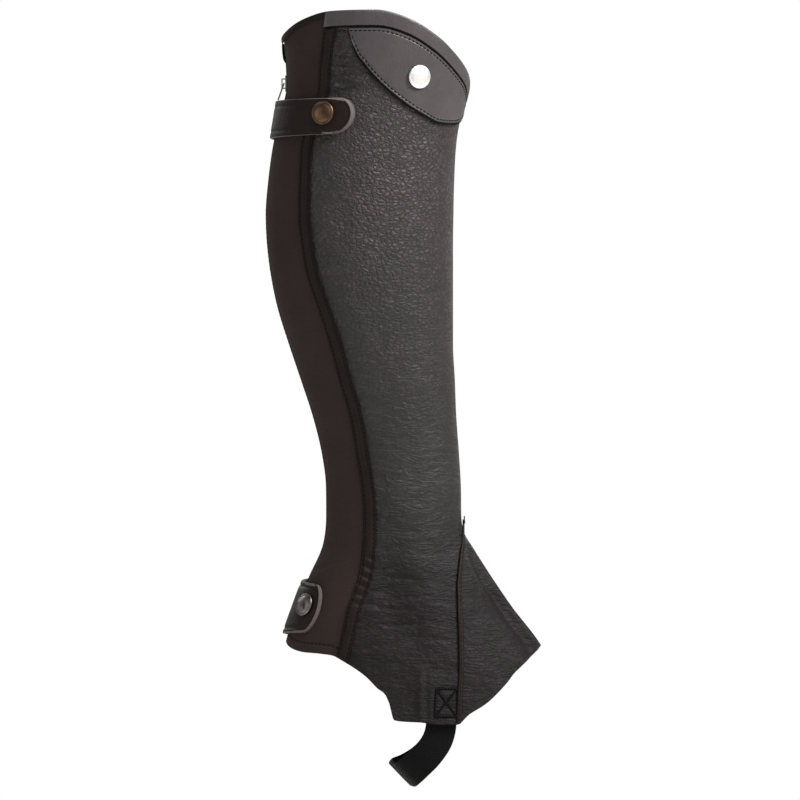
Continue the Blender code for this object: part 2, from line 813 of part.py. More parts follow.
def foot_strap():
    """Elastic webbing from inside the outer hem, under the foot, to inside the inner hem."""
    points = [np.array((row.x, row.y, row.z)) for row in STRAP_LINE]
    travelled = np.concatenate(
        [[0], np.cumsum([np.linalg.norm(b - a) for a, b in zip(points, points[1:])])]
    )
    line = {
        name: Curve(zip(travelled, (getattr(row, name) for row in STRAP_LINE)))
        for name in StrapPoint._fields
    }

    def middle(distance):
        return np.array([line[name](distance) for name in "xyz"])

    def place(column, row, face, _side):
        distance = travelled[-1] * row / STRAP_ROWS
        tilt, toe = math.radians(line["tilt"](distance)), math.radians(line["toe"](distance))
        wide = np.array((math.cos(tilt) * math.cos(toe), -math.sin(toe), -math.sin(tilt)))
        ahead = middle(min(distance + 1, travelled[-1])) - middle(max(distance - 1, 0))
        out = np.cross(wide, ahead)
        out /= np.linalg.norm(out)
        across = (column - 1) * STRAP_WIDTH / 2
        return middle(distance) + wide * across + out * WEBBING * (face - 0.5)

    sheet("foot_strap", "elastic_webbing", 2, STRAP_ROWS, place)


def main():
    for old in list(bpy.data.objects):
        bpy.data.objects.remove(old)
    for name in ("half_chap", "cutters"):
        bpy.context.scene.collection.children.link(bpy.data.collections.new(name))
    leather_panel()
    stretch_panel()
    seam_strip()
    top_band()
    top_binding()
    zip_tape("zip_tape_outer", 1)
    zip_tape("zip_tape_inner", -1)
    vamp()
    vamp_piping("vamp_piping_outer", 1)
    vamp_piping("vamp_piping_inner", -1)
    front_patch()
    metal_cap("patch_stud", "nickel", PATCH_STUD, LAID + TRIM)
    closing_tab("top_tab", TOP_TAB)
    metal_cap("top_tab_snap", "antique_brass", TOP_SNAP, tab_lift(TOP_TAB, TOP_SNAP))
    closing_tab("heel_tab", HEEL_TAB)
    metal_cap("heel_tab_snap", "gunmetal", HEEL_SNAP, tab_lift(HEEL_TAB, HEEL_SNAP))
    zip_slider()
    zip_pull()
    foot_strap()


main()
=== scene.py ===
"""Dresses the half chap: leather, stretch fabric, zip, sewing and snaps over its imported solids.

Object and mesh coordinates are metres. Tables and sizes inside this file are millimetres and degrees. A
place on the leg is an angle and a height: 0 is the shin, 90 the outer side, 180 the zip and -90 the inner
side.
"""

import math
from collections import namedtuple

import bmesh
import bpy
import numpy as np
from mathutils import Matrix, Vector


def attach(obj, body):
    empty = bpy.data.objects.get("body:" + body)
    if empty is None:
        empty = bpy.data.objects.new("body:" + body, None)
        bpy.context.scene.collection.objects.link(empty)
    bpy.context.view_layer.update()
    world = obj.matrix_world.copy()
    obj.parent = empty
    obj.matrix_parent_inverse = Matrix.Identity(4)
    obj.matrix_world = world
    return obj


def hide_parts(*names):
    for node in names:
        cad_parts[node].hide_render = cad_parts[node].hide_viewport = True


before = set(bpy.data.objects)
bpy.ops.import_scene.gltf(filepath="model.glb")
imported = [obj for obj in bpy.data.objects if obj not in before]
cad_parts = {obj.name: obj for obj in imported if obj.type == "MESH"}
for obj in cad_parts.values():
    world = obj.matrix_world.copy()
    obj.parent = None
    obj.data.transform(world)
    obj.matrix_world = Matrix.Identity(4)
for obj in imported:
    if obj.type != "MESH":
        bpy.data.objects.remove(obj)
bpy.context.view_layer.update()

bl_info = {
    "name": "Half Chap",
    "version": (1, 0, 0),
    "blender": (4, 5, 0),
    "location": "3D View > Sidebar > Half Chap",
    "description": "Makes the panels, zip, snaps and sewing of a half chap",
    "category": "Add Mesh",
}

MM = 0.001

# Beads made in one go: a long list of them is faster in short stretches
BATCH = 24

# Sheet thicknesses and clearances, the same as the solids'
LEATHER = 1.4
TRIM = 1.2
TAB = 2.0
TAPE = 1.0
WEBBING = 1.6
GAP = 0.3
LAID = 0.38

# Seams and edges
STRIP_HALF = 4.5
BAND_DEPTH = 11.5
BAND_CLEAR = 0.4
BINDING_DEPTH = 4.0
PIPING_HALF = 1.8
VAMP_TOP = -204.0
BACK_CENTRE = 180.0
ZIP_OPENING = 6.0
TAPE_REACH = 14.0
TEETH_GAP = 0.4
FORK_START = 55.0
FORK_LENGTH = 25.0
FORK_OPENING = 1.4
PATCH_END_HEIGHT = 1.5
PATCH_GAP = 0.6
PATCH_NARROW = 9.5
PATCH_EDGE_DROP = 0.33

# Millimetres for each degree round the leg, below the knee and elsewhere
KNEE_ARC = 1.1
ARC_PER_DEGREE = 0.85

# Sewing: how far rows lie from the edges and over their faces, and where rows up the panels start and stop
STRIP_ROW = 2.9
PATCH_ROW = 3.0
PATCH_TOP_ROW = 1.8
ZIP_ROW = 1.8
STRETCH_HEM = 6.5
BAND_ROW_SHARE = 0.9948
INK_WIDTH = 0.5
TRIM_CROWN = 0.35
TRIM_EDGE_DROP = 0.3
ROW_START = 0.006
ROW_STOP = 0.996
ZIP_ROW_STOP = 0.998
THREAD_LIFT = {"strip": 0.05, "band": -0.15, "patch": -0.1, "zip": 0.1, "vamp": 0.2, "hem": -0.3}

# How a row of stitches draws a face in: half the width of the dip and its depth. The band's row has its
# width as a share of the panel's height.
Dip = namedtuple("Dip", "half_width depth")
TRIM_DIP = Dip(0.6, 0.45)
PATCH_DIP = Dip(0.55, 0.35)
HEM_DIP = Dip(0.9, 0.5)
CROSS_DIP = Dip(0.8, 0.8)
BAND_ROW_DIP = Dip(0.0016, 0.4)

# The zip's coil: the size of a turn, from turn to turn, how far it reaches in and how deep it lies
COIL_TURN = (1.25, 2.9, 1.3)
COIL_PITCH = 1.7
COIL_INWARDS = 0.9
COIL_RISE = 0.45

# The bar tack at the vamp's top: its stitches, their size, the step between them, how far the lowest
# lies below the top and how far the middle one reaches to either side, in degrees
TACK_STITCHES = 9
TACK_STITCH = (6.4, 0.9, 1.0)
TACK_STEP = 0.55
TACK_BELOW = 2.5
TACK_REACH = 5.5

# The boxed cross on the elastic: its sides along X and Z, how far its top back corner is out of square,
# and its stitches
Box = namedtuple("Box", "back front low high")
ELASTIC_BOX = Box(51.2, 66.2, -336.3, -317.6)
CROSS_SHIFT = 1.0
CROSS_PITCH = 1.9
CROSS_WIDTH = 1.8
CROSS_LIFT = 0.75

# The elastic's end under the leather: how far it lifts it, where it starts and stops, and the fold behind
ELASTIC_RISE = 0.9
ELASTIC_BACK = 46.0
ELASTIC_FRONT = 69.5
ELASTIC_TOP = -304.0
ELASTIC_FOLD = 42.5
ELASTIC_FOLD_DIP = Dip(3.0, 1.3)
ELASTIC_FOLD_TOP = -300.0

# The vamp's ridge: the trough on both sides of it as an angle, its half width and depth, and its top
TROUGH_ANGLE = 20.0
TROUGH_HALF = 9.0
TROUGH_DEPTH = 4.4
TROUGH_TOP = -214.0
TROUGH_RUN = 30.0

# One row for each level of the leg. back, front and widest are along X, half_width and lean along Y.
# A ridge above 1 draws the front of the section to a fold. seam is where the outer seam runs along X.
Section = namedtuple("Section", "height back front widest half_width ridge lean seam")
SECTIONS = [
    Section(*row)
    for row in (
        (-345, -51.0, 131.0, 28, 48.0, 1.15, 0.0, -18.0),
        (-320, -51.0, 130.0, 25, 46.5, 1.25, 0.0, -14.0),
        (-300, -50.5, 127.5, 22, 45.0, 1.40, 0.0, -10.6),
        (-288, -49.5, 122.5, 20, 44.0, 1.55, 0.1, -8.0),
        (-262, -41.1, 102.9, 19, 41.5, 1.60, 0.4, -2.0),
        (-243, -33.8, 90.0, 20, 39.5, 1.50, 0.8, 4.6),
        (-223, -24.8, 77.2, 22, 37.5, 1.30, 1.2, 7.4),
        (-212, -22.6, 70.8, 23, 36.5, 1.12, 1.4, 8.1),
        (-200, -22.0, 69.2, 23, 36.0, 1.00, 1.5, 8.1),
        (-183, -22.1, 69.0, 22, 36.0, 1.00, 1.4, 6.8),
        (-160, -24.8, 67.7, 19, 37.0, 1.00, 1.0, 3.1),
        (-135, -30.8, 65.9, 15, 39.5, 1.00, 0.3, -1.2),
        (-110, -38.9, 64.9, 11, 43.0, 1.00, -0.4, -8.4),
        (-86, -46.9, 63.7, 7, 46.5, 1.00, -0.9, -14.8),
        (-62, -54.3, 63.7, 3, 49.5, 1.00, -1.2, -22.6),
        (-40, -58.8, 63.7, 1, 51.5, 1.00, -1.2, -30.0),
        (-20, -61.3, 63.7, 0, 52.5, 1.00, -1.0, -33.6),
        (0, -62.2, 64.0, 0, 53.0, 1.00, -0.7, -35.6),
        (20, -60.8, 64.4, 0, 53.0, 1.00, -0.3, -35.4),
        (50, -56.6, 66.2, 2, 52.5, 1.00, 0.3, -33.4),
        (70, -51.6, 69.8, 5, 52.5, 1.00, 0.8, -26.4),
        (86, -48.2, 73.5, 7, 53.0, 1.00, 1.2, -22.4),
        (96, -48.4, 75.0, 7, 53.5, 1.00, 1.4, -22.0),
        (116, -50.0, 77.5, 8, 55.0, 1.00, 1.8, -19.6),
        (140, -53.5, 80.0, 8, 56.5, 1.00, 2.2, -16.4),
    )
]

# The top edge all round, highest on the outer side
EdgePoint = namedtuple("EdgePoint", "angle height")
TOP_EDGE = [
    EdgePoint(*row)
    for row in (
        (-180, 117.0), (-150, 108.0), (-110, 95.0), (-70, 86.0), (-30, 83.0), (0, 86.5), (12, 94.0),
        (32, 106.5), (51, 120.6), (70, 132.7), (87, 137.6), (116, 136.7), (135, 132.0), (160, 123.0),
        (180, 117.0),
    )
]

# The hem from the tip of the vamp to the heel, the same on both sides
HEM_EDGE = [
    EdgePoint(*row)
    for row in (
        (0, -288.1), (9, -289.6), (38.7, -306.2), (44.4, -314.0), (55.1, -327.6), (62.9, -335.0),
        (67.8, -341.5), (75.2, -341.7), (80.8, -340.3), (92.4, -338.4), (94.1, -324.8), (99.1, -316.9),
        (104.1, -309.5), (112.3, -301.8), (121, -295.8), (130, -294.1), (146.4, -292.6), (163, -288.8),
        (180, -282.5),
    )
]

# The vamp's seam on either side of the shin
SeamPoint = namedtuple("SeamPoint", "height angle")
VAMP_SEAM = [
    SeamPoint(*row)
    for row in (
        (-345, 67.8), (-300, 63.5), (-283, 60.5), (-262, 54.5), (-243, 47.0), (-224, 32.0),
        (-216, 20.0), (-209, 9.0), (-204, 0.0),
    )
]

# Creases: the middle of each, how far it slants from level, its length and half its width, and how deep
# it is. One with a depth below 0 is a soft ridge. The first table is also in the solids.
Crease = namedtuple("Crease", "angle height slant length half_width depth")
CREASES = [
    Crease(*row)
    for row in (
        (86, -250, -14, 46, 10, 1.3), (70, -226, 10, 34, 9, 0.9), (95, -278, -22, 40, 11, 0.9),
        (80, -264, -16, 40, 9, -0.7), (-82, -246, 12, 48, 10, 1.3), (-64, -224, -8, 30, 9, 0.8),
        (-98, -274, 20, 42, 11, 1.0), (-84, -260, 14, 40, 9, -0.7), (-118, -196, 6, 40, 12, 0.9),
        (34, -262, 58, 52, 8, 0.8), (-36, -266, -56, 48, 8, 0.8),
    )
]
FINE_CREASES = [
    Crease(*row)
    for row in (
        (89, -256, 84, 80, 14, 3.8), (-90, -252, -84, 70, 14, 3.2), (110, 106, -4, 16, 2.3, 1.9),
        (108, 100, 7, 18, 2.3, 2.2), (107, 94.5, -5, 22, 2.4, 2.5), (109, 89, 10, 18, 2.3, 2.1),
        (106, 84, -8, 20, 2.3, 2.3), (112, 80, 4, 12, 2.3, 1.6), (112, 113, 82, 18, 2.5, 1.27),
        (105, -230, 24, 9, 2.3, 1.06), (106, -236, 30, 10, 2.3, 1.27), (107, -242, 26, 10, 2.3, 1.38),
        (108, -248, 32, 10, 2.3, 1.17), (109, -254, 24, 10, 2.4, 1.27), (110, -260, 28, 9, 2.3, 0.96),
        (92, -236, -8, 26, 2.2, 0.77), (80, -243, 6, 30, 2, 0.85), (101, -252, -18, 24, 2.2, 0.77),
        (76, -256, -4, 22, 1.9, 0.68), (90, -263, 10, 28, 2.1, 0.85), (104, -270, -26, 22, 2, 0.68),
        (82, -274, -10, 26, 2.2, 0.77), (72, -284, 14, 22, 2, 0.59), (97, -289, -16, 24, 2.2, 0.68),
        (86, -300, 4, 24, 2.1, 0.59), (74, -212, 8, 22, 2, 0.59), (88, -222, -6, 20, 2, 0.59),
        (60, -236, 20, 18, 1.8, 0.51), (96, -204, 8, 20, 2.2, 0.51), (78, -192, -5, 24, 2.4, 0.51),
        (92, -176, 6, 26, 2.6, 0.48), (66, -166, -8, 24, 2.6, 0.42), (84, -150, 5, 26, 3, 0.42),
        (100, 48, -12, 16, 2.2, 0.42), (-88, -238, 8, 28, 2.2, 0.85), (-76, -248, -8, 24, 2, 0.77),
        (-98, -256, 16, 26, 2.2, 0.77), (-84, -268, -6, 26, 2.1, 0.77), (-100, -280, 22, 22, 2, 0.68),
        (-78, -290, 10, 24, 2.2, 0.59), (-92, -216, -8, 24, 2.2, 0.59), (-110, -230, 14, 24, 2.2, 0.59),
        (-126, -212, -10, 22, 2.2, 0.51), (-80, -180, 6, 26, 2.6, 0.48),
        (-104, -160, -6, 26, 2.6, 0.42), (-130, -184, 8, 22, 2.4, 0.48), (22, -246, 62, 26, 2.4, 0.68),
        (38, -284, 40, 24, 2.4, 0.59), (-24, -250, -60, 26, 2.4, 0.68), (-40, -288, -38, 24, 2.4, 0.59),
        (150, -236, -10, 24, 2.4, 0.59), (142, -222, 8, 22, 2.2, 0.51), (152, -204, -6, 24, 2.6, 0.51),
    )
]
CREASE_FALL = 1.5

# The lower edge of the front patch
PATCH_EDGE = [
    EdgePoint(*row)
    for row in (
        (-15, 71.0), (0, 65.0), (13, 61.5), (26, 60.4), (40.6, 61.3), (53.5, 66.3), (68.7, 75.0),
        (81, 85.1), (91.9, 98.5), (101.4, 113.2), (103.6, 123.0),
    )
]

# Round metal caps: where they sit, their width and how far they stand up
Cap = namedtuple("Cap", "angle height diameter rise dome")
PATCH_STUD = Cap(60.6, 92.7, 15.8, 1.6, 0.5)
TOP_SNAP = Cap(117.6, 68.0, 16.0, 1.5, 0.9)
HEEL_SNAP = Cap(150.8, -262.0, 15.5, 1.5, 0.9)

# Closing tabs: the tip and the sewn end as angles, the middle height at both, half the height at both,
# how far the round tip reaches, the lift over the leg at the tip, over the zip and at the sewn end, and
# how much more the upper edge stands off over the zip
Tab = namedtuple(
    "Tab",
    "tip sewn tip_height sewn_height tip_half sewn_half round lift_tip lift_zip lift_sewn flare",
)
TOP_TAB = Tab(96.4, 213.0, 66.4, 61.3, 12.3, 12.3, 12.3, 1.9, 1.9, 0.4, 1.2)
HEEL_TAB = Tab(136.5, 214.0, -264.0, -262.5, 16.0, 19.5, 9.0, 0.4, 1.2, 0.4, 0.0)

# The elastic's middle line from its outer end to its inner one. tilt is how far its width dips at the
# front, and toe how far it turns to the outer side there.
StrapPoint = namedtuple("StrapPoint", "x y z tilt toe")
STRAP_WIDTH = 20.5
STRAP_LINE = [
    StrapPoint(*row)
    for row in (
        (56.4, -40.7, -318.0, 2, -9), (56.2, -41.5, -331.0, 3, -8), (55.4, -42.4, -344.0, 6, -7),
        (52.6, -42.6, -353.0, 20, -4), (46.4, -42.0, -361.8, 34, 0), (38.8, -38.8, -369.3, 43, 0),
        (33.8, -32.0, -373.8, 46, 0), (31.4, -20.0, -375.2, 46, 0), (29.6, 0.0, -374.8, 46, 0),
        (28.2, 20.0, -374.0, 46, 0), (29.4, 32.0, -371.8, 46, 0), (36.6, 38.8, -368.4, 43, 0),
        (45.8, 42.0, -361.8, 34, 0), (52.4, 42.6, -353.2, 20, 4), (55.4, 42.4, -344.0, 6, 7),
        (56.2, 41.5, -331.0, 3, 8), (56.4, 40.7, -318.0, 2, 9),
    )
]


def colour(code):
    """An sRGB hex colour as linear red, green, blue and alpha."""
    channels = [int(code[i : i + 2], 16) / 255 for i in (1, 3, 5)]
    linear = [c / 12.92 if c <= 0.04045 else ((c + 0.055) / 1.055) ** 2.4 for c in channels]
    return (*linear, 1.0)


# The leg's form


class Curve:
    """A smooth line through a table's points that never swings past them."""

    def __init__(self, points):
        self.at, self.value = (np.array(column, float) for column in zip(*points))
        rise = np.diff(self.value) / np.diff(self.at)
        slope = np.empty(len(self.at))
        slope[1:-1] = (rise[:-1] + rise[1:]) / 2
        slope[0], slope[-1] = rise[0], rise[-1]
        limit = 2.5 * np.minimum(np.abs(rise[:-1]), np.abs(rise[1:]))
        slope[1:-1] = np.where(rise[:-1] * rise[1:] > 0, np.clip(slope[1:-1], -limit, limit), 0)
        self.slope = slope

    def __call__(self, x):
        x = np.clip(x, self.at[0], self.at[-1])
        i = np.minimum(np.searchsorted(self.at, x, side="right") - 1, len(self.at) - 2)
        span = self.at[i + 1] - self.at[i]
        t = (x - self.at[i]) / span
        start = (1 + 2 * t) * (1 - t) ** 2 * self.value[i] + t * (1 - t) ** 2 * span * self.slope[i]
        end = t * t * (3 - 2 * t) * self.value[i + 1] + t * t * (t - 1) * span * self.slope[i + 1]
        return start + end


LEVEL = {name: Curve([(row.height, getattr(row, name)) for row in SECTIONS]) for name in Section._fields[1:]}
TOP = Curve(TOP_EDGE)
HEM = Curve(HEM_EDGE)
VAMP = Curve(VAMP_SEAM)
PATCH = Curve(PATCH_EDGE)


def eased(t):
    """A smooth step from 0 to 1."""
    t = np.clip(t, 0, 1)
    return t * t * (3 - 2 * t)


def wrapped(angle):
    """The same direction between -180 and 180."""
    return (angle + 180) % 360 - 180


def bare_skin(angle, height):
    """Points on the leg's form at angles and heights, before its creases."""
    angle, height = np.broadcast_arrays(np.asarray(angle, float), np.asarray(height, float))
    turn = np.radians(angle)
    middle = LEVEL["widest"](height)
    ahead = np.cos(turn) >= 0
    reach = np.where(ahead, LEVEL["front"](height) - middle, middle - LEVEL["back"](height))
    sharp = np.where(ahead, LEVEL["ridge"](height), 1.0)
    side = np.sign(np.sin(turn)) * np.abs(np.sin(turn)) ** sharp
    y = LEVEL["lean"](height) - LEVEL["half_width"](height) * side
    return np.stack((middle + reach * np.cos(turn), y, height), axis=-1)


def outward(angle, height, step=0.5):
    """The direction straight out of the leg."""
    round_leg = bare_skin(angle + step, height) - bare_skin(angle - step, height)
    up_leg = bare_skin(angle, height + step) - bare_skin(angle, height - step)
    out = np.cross(up_leg, round_leg)
    return out / np.linalg.norm(out, axis=-1, keepdims=True)


def crease_depth(angle, height, creases):
    """How far a table of creases draws the leg's form in."""
    depth = np.zeros(np.broadcast(angle, height).shape)
    for crease in creases:
        round_leg = wrapped(angle - crease.angle) * ARC_PER_DEGREE
        up_leg = height - crease.height
        slant = math.radians(crease.slant)
        along = round_leg * math.cos(slant) + up_leg * math.sin(slant)
        across = up_leg * math.cos(slant) - round_leg * math.sin(slant)
        reach = (2 * along / crease.length) ** 2 + (across / crease.half_width) ** 2
        depth = depth + crease.depth * np.exp(-CREASE_FALL * reach)
    return depth


def skin(angle, height, lift=0.0):
    """Points on the panels' outer face at angles and heights, moved outwards by lift."""
    angle, height = np.broadcast_arrays(np.asarray(angle, float), np.asarray(height, float))
    drawn_in = crease_depth(angle, height, CREASES + FINE_CREASES)
    return bare_skin(angle, height) + (lift - drawn_in)[..., None] * outward(angle, height)


def moved(angle, height, distance):
    """The angle a distance further round the leg."""
    step = bare_skin(angle + 0.5, height) - bare_skin(angle - 0.5, height)
    return angle + distance / np.linalg.norm(step, axis=-1)


def angle_of(x, height):
    """The angle on the outer side where the leg is at a place along X."""
    middle = LEVEL["widest"](height)
    reach = np.where(x > middle, LEVEL["front"](height) - middle, middle - LEVEL["back"](height))
    return np.degrees(np.arccos(np.clip((x - middle) / reach, -1, 1)))


def seam_angle(height, distance=0.0):
    """The outer seam, or a line beside it, nearer the back where distance is above 0."""
    return moved(angle_of(LEVEL["seam"](height), height), height, distance)


def zip_angle(height, distance):
    """A line beside the zip: on the outer side where distance is above 0, on the inner side below."""
    side = np.copysign(BACK_CENTRE, distance)
    return moved(side + 0 * height, height, -distance)


def vamp_angle(height, distance=0.0):
    """The vamp's outer seam, or a line beside it towards the back. The inner seam is its opposite."""
    return moved(VAMP(height), height, distance)


def height_at(angle, share):
    """Share 0 is the hem, 1 the lower edge of the top band and 2 the top edge."""
    angle = wrapped(angle)
    top, hem = TOP(angle), HEM(np.abs(angle))
    low = hem + (top - BAND_DEPTH - hem) * share
    return np.where(share <= 1, low, top - BAND_DEPTH * (2 - share))


def meet(line, share):
    """The angles and heights where lines, angles that depend on height, cross the rows."""
    height = height_at(line(np.zeros_like(share)), share)
    for _ in range(70):
        height = height + (height_at(line(height), share) - height) / 5
    return line(height), height


VAMP_SHARE = float((VAMP_TOP - HEM(0)) / (TOP(0) - BAND_DEPTH - HEM(0)))
HEM_AT_SEAM = float(HEM(110))
TOP_AT_SEAM = float(TOP(110))
# Rows lie closest where the leather wrinkles: over the foot and ankle, and below the top band
ALONG_FOOT = np.linspace(0, 1, 111)
FOOT_SHARES = VAMP_SHARE * (0.65 * ALONG_FOOT + 0.35 * np.sin(ALONG_FOOT * math.pi / 2))
ANKLE_SHARES = np.linspace(VAMP_SHARE, 0.5, 90)
CALF_SHARES = np.linspace(0.5, 0.86, 62)
KNEE_SHARES = np.append(np.linspace(0.86, 0.988, 36), [0.9905, 0.9925, 0.994, 0.9955, 0.997, 1.0])
PANEL_SHARES = np.concatenate(
    (FOOT_SHARES, ANKLE_SHARES[1:], CALF_SHARES[1:], KNEE_SHARES[1:], [1.35, 1.7, 2.0])
)


# Meshes


def grid(name, points, slots=None):
    """A mesh of one face of a sheet from rows of points in mm, with its UV map in metres along it.

    slots gives each face its material, as rows and columns.
    """
    rows, columns = points.shape[0] - 1, points.shape[1] - 1
    bm = bmesh.new()
    bmesh.ops.create_grid(bm, x_segments=columns, y_segments=rows, size=1)
    mesh = bpy.data.meshes.new(name)
    bm.to_mesh(mesh)
    bm.free()
    flat = np.empty(len(mesh.vertices) * 3)
    mesh.vertices.foreach_get("co", flat)
    flat = flat.reshape(-1, 3)
    column = np.rint((flat[:, 0] + 1) / 2 * columns).astype(int)
    row = np.rint((flat[:, 1] + 1) / 2 * rows).astype(int)
    mesh.vertices.foreach_set("co", (points[row, column] * MM).ravel())
    across = np.linalg.norm(np.diff(points, axis=1), axis=-1)
    along = np.linalg.norm(np.diff(points, axis=0), axis=-1)
    u = np.concatenate((np.zeros((rows + 1, 1)), np.cumsum(across, axis=1)), axis=1)
    u = u - u[:, -1:] / 2
    v = np.concatenate((np.zeros((1, columns + 1)), np.cumsum(along, axis=0)), axis=0)
    layer = mesh.uv_layers.active or mesh.uv_layers.new(name="UVMap")
    corner = np.empty(len(mesh.loops), int)
    mesh.loops.foreach_get("vertex_index", corner)
    place = np.stack((u[row, column], v[row, column]), axis=-1)[corner] * MM
    layer.data.foreach_set("uv", place.ravel())
    if slots is not None:
        quads = corner.reshape(-1, 4)
        picked = slots[row[quads].min(axis=1), column[quads].min(axis=1)]
        mesh.polygons.foreach_set("material_index", picked.astype(np.int32))
    return mesh


def joined(name, meshes, reach=0):
    """One mesh of several, with points closer than reach made one."""
    bm = bmesh.new()
    for mesh in meshes:
        bm.from_mesh(mesh)
        bpy.data.meshes.remove(mesh)
    if reach:
        bmesh.ops.remove_doubles(bm, verts=bm.verts[:], dist=reach * MM)
    made = bpy.data.meshes.new(name)
    bm.to_mesh(made)
    bm.free()
    return made


def add_piece(name, mesh, materials, replaces=None):
    """Links a finished mesh, gives it its materials and lets it ride on the chap."""
    piece = bpy.data.objects.new(name, mesh)
    bpy.context.scene.collection.objects.link(piece)
    for material in materials:
        mesh.materials.append(material)
    mesh.shade_smooth()
    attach(piece, "chap")
    if replaces:
        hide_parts(replaces)
    return piece


def thicken(piece, thickness, edge):
    """Gives a sheet its wall, with its inner face and cut edge in its 2nd and 3rd materials."""
    wall = piece.modifiers.new("wall", "SOLIDIFY")
    wall.thickness = thickness * MM
    wall.offset = -1.0
    wall.material_offset = 1
    wall.material_offset_rim = 2
    if edge:
        rounding = piece.modifiers.new("edge", "BEVEL")
        rounding.width = edge * MM
        rounding.segments = 2
        rounding.profile = 0.5
        rounding.limit_method = "ANGLE"
        rounding.angle_limit = math.radians(55)


def strip(first, second, columns, shares):
    """Angles and heights of a stretch of panel from the first line to the second, nearer the shin."""
    t = np.linspace(0, 1, columns + 1)[None, :]
    share = np.repeat(np.asarray(shares, float)[:, None], columns + 1, axis=1)
    return meet(lambda height: first(height) + (second(height) - first(height)) * t, share)


def flat_size(points):
    """The width, length and area in metres of a sheet's rows of points."""
    across = np.linalg.norm(np.diff(points, axis=1), axis=-1).sum(axis=1)
    along = np.linalg.norm(np.diff(points, axis=0), axis=-1).sum(axis=0)
    first = points[1:, 1:] - points[:-1, :-1]
    second = points[1:, :-1] - points[:-1, 1:]
    area = np.linalg.norm(np.cross(first, second), axis=-1).sum() / 2
    return across.max() * MM, along.max() * MM, area * MM * MM


def make_sheet(name, points, finishes, node, wall, edge=0, slots=None):
    """A sheet over a solid, with the finishes of its face, its inner face and its edge."""
    materials = [finish(kind) for kind in finishes]
    piece = add_piece(name, grid(name, points, slots), materials, replaces=node)
    thicken(piece, wall, edge)
    return piece


def declare_sheet(points):
    """Works out a sheet's flat size, which is the cut of what shows, and keeps none of it."""
    width, length, area = flat_size(points)
    area = min(area, width * length)


# Materials


def wire(tree, node, links):
    """Links sources to a node's inputs. A whole node as a source stands for its first output."""
    for key, source in links.items():
        socket = source.outputs[0] if isinstance(source, bpy.types.Node) else source
        tree.links.new(socket, node.inputs[key])


def add(tree, kind, values=None, links=None):
    """Adds a node with its settings and its inputs' values and links, and returns it."""
    made = tree.nodes.new("ShaderNode" + kind)
    for key, value in (values or {}).items():
        if isinstance(key, str) and hasattr(made, key):
            setattr(made, key, value)
        else:
            made.inputs[key].default_value = value
    wire(tree, made, links or {})
    return made


def new_material(name, base, roughness, gloss=0.5, metallic=0.0):
    """A material with one Principled shader, its tree and its shader."""
    material = bpy.data.materials.new(name)
    material.use_nodes = True
    shader = material.node_tree.nodes["Principled BSDF"]
    shader.inputs["Base Color"].default_value = base
    shader.inputs["Roughness"].default_value = roughness
    shader.inputs["Metallic"].default_value = metallic
    shader.inputs["Specular IOR Level"].default_value = gloss
    return material, material.node_tree, shader


MATERIALS = {}


def finish(name):
    """The material of a name, made the first time that it is asked for."""
    if name not in MATERIALS:
        MATERIALS[name] = MAKERS[name](bpy.context.scene.half_chap_finish)
    return MATERIALS[name]


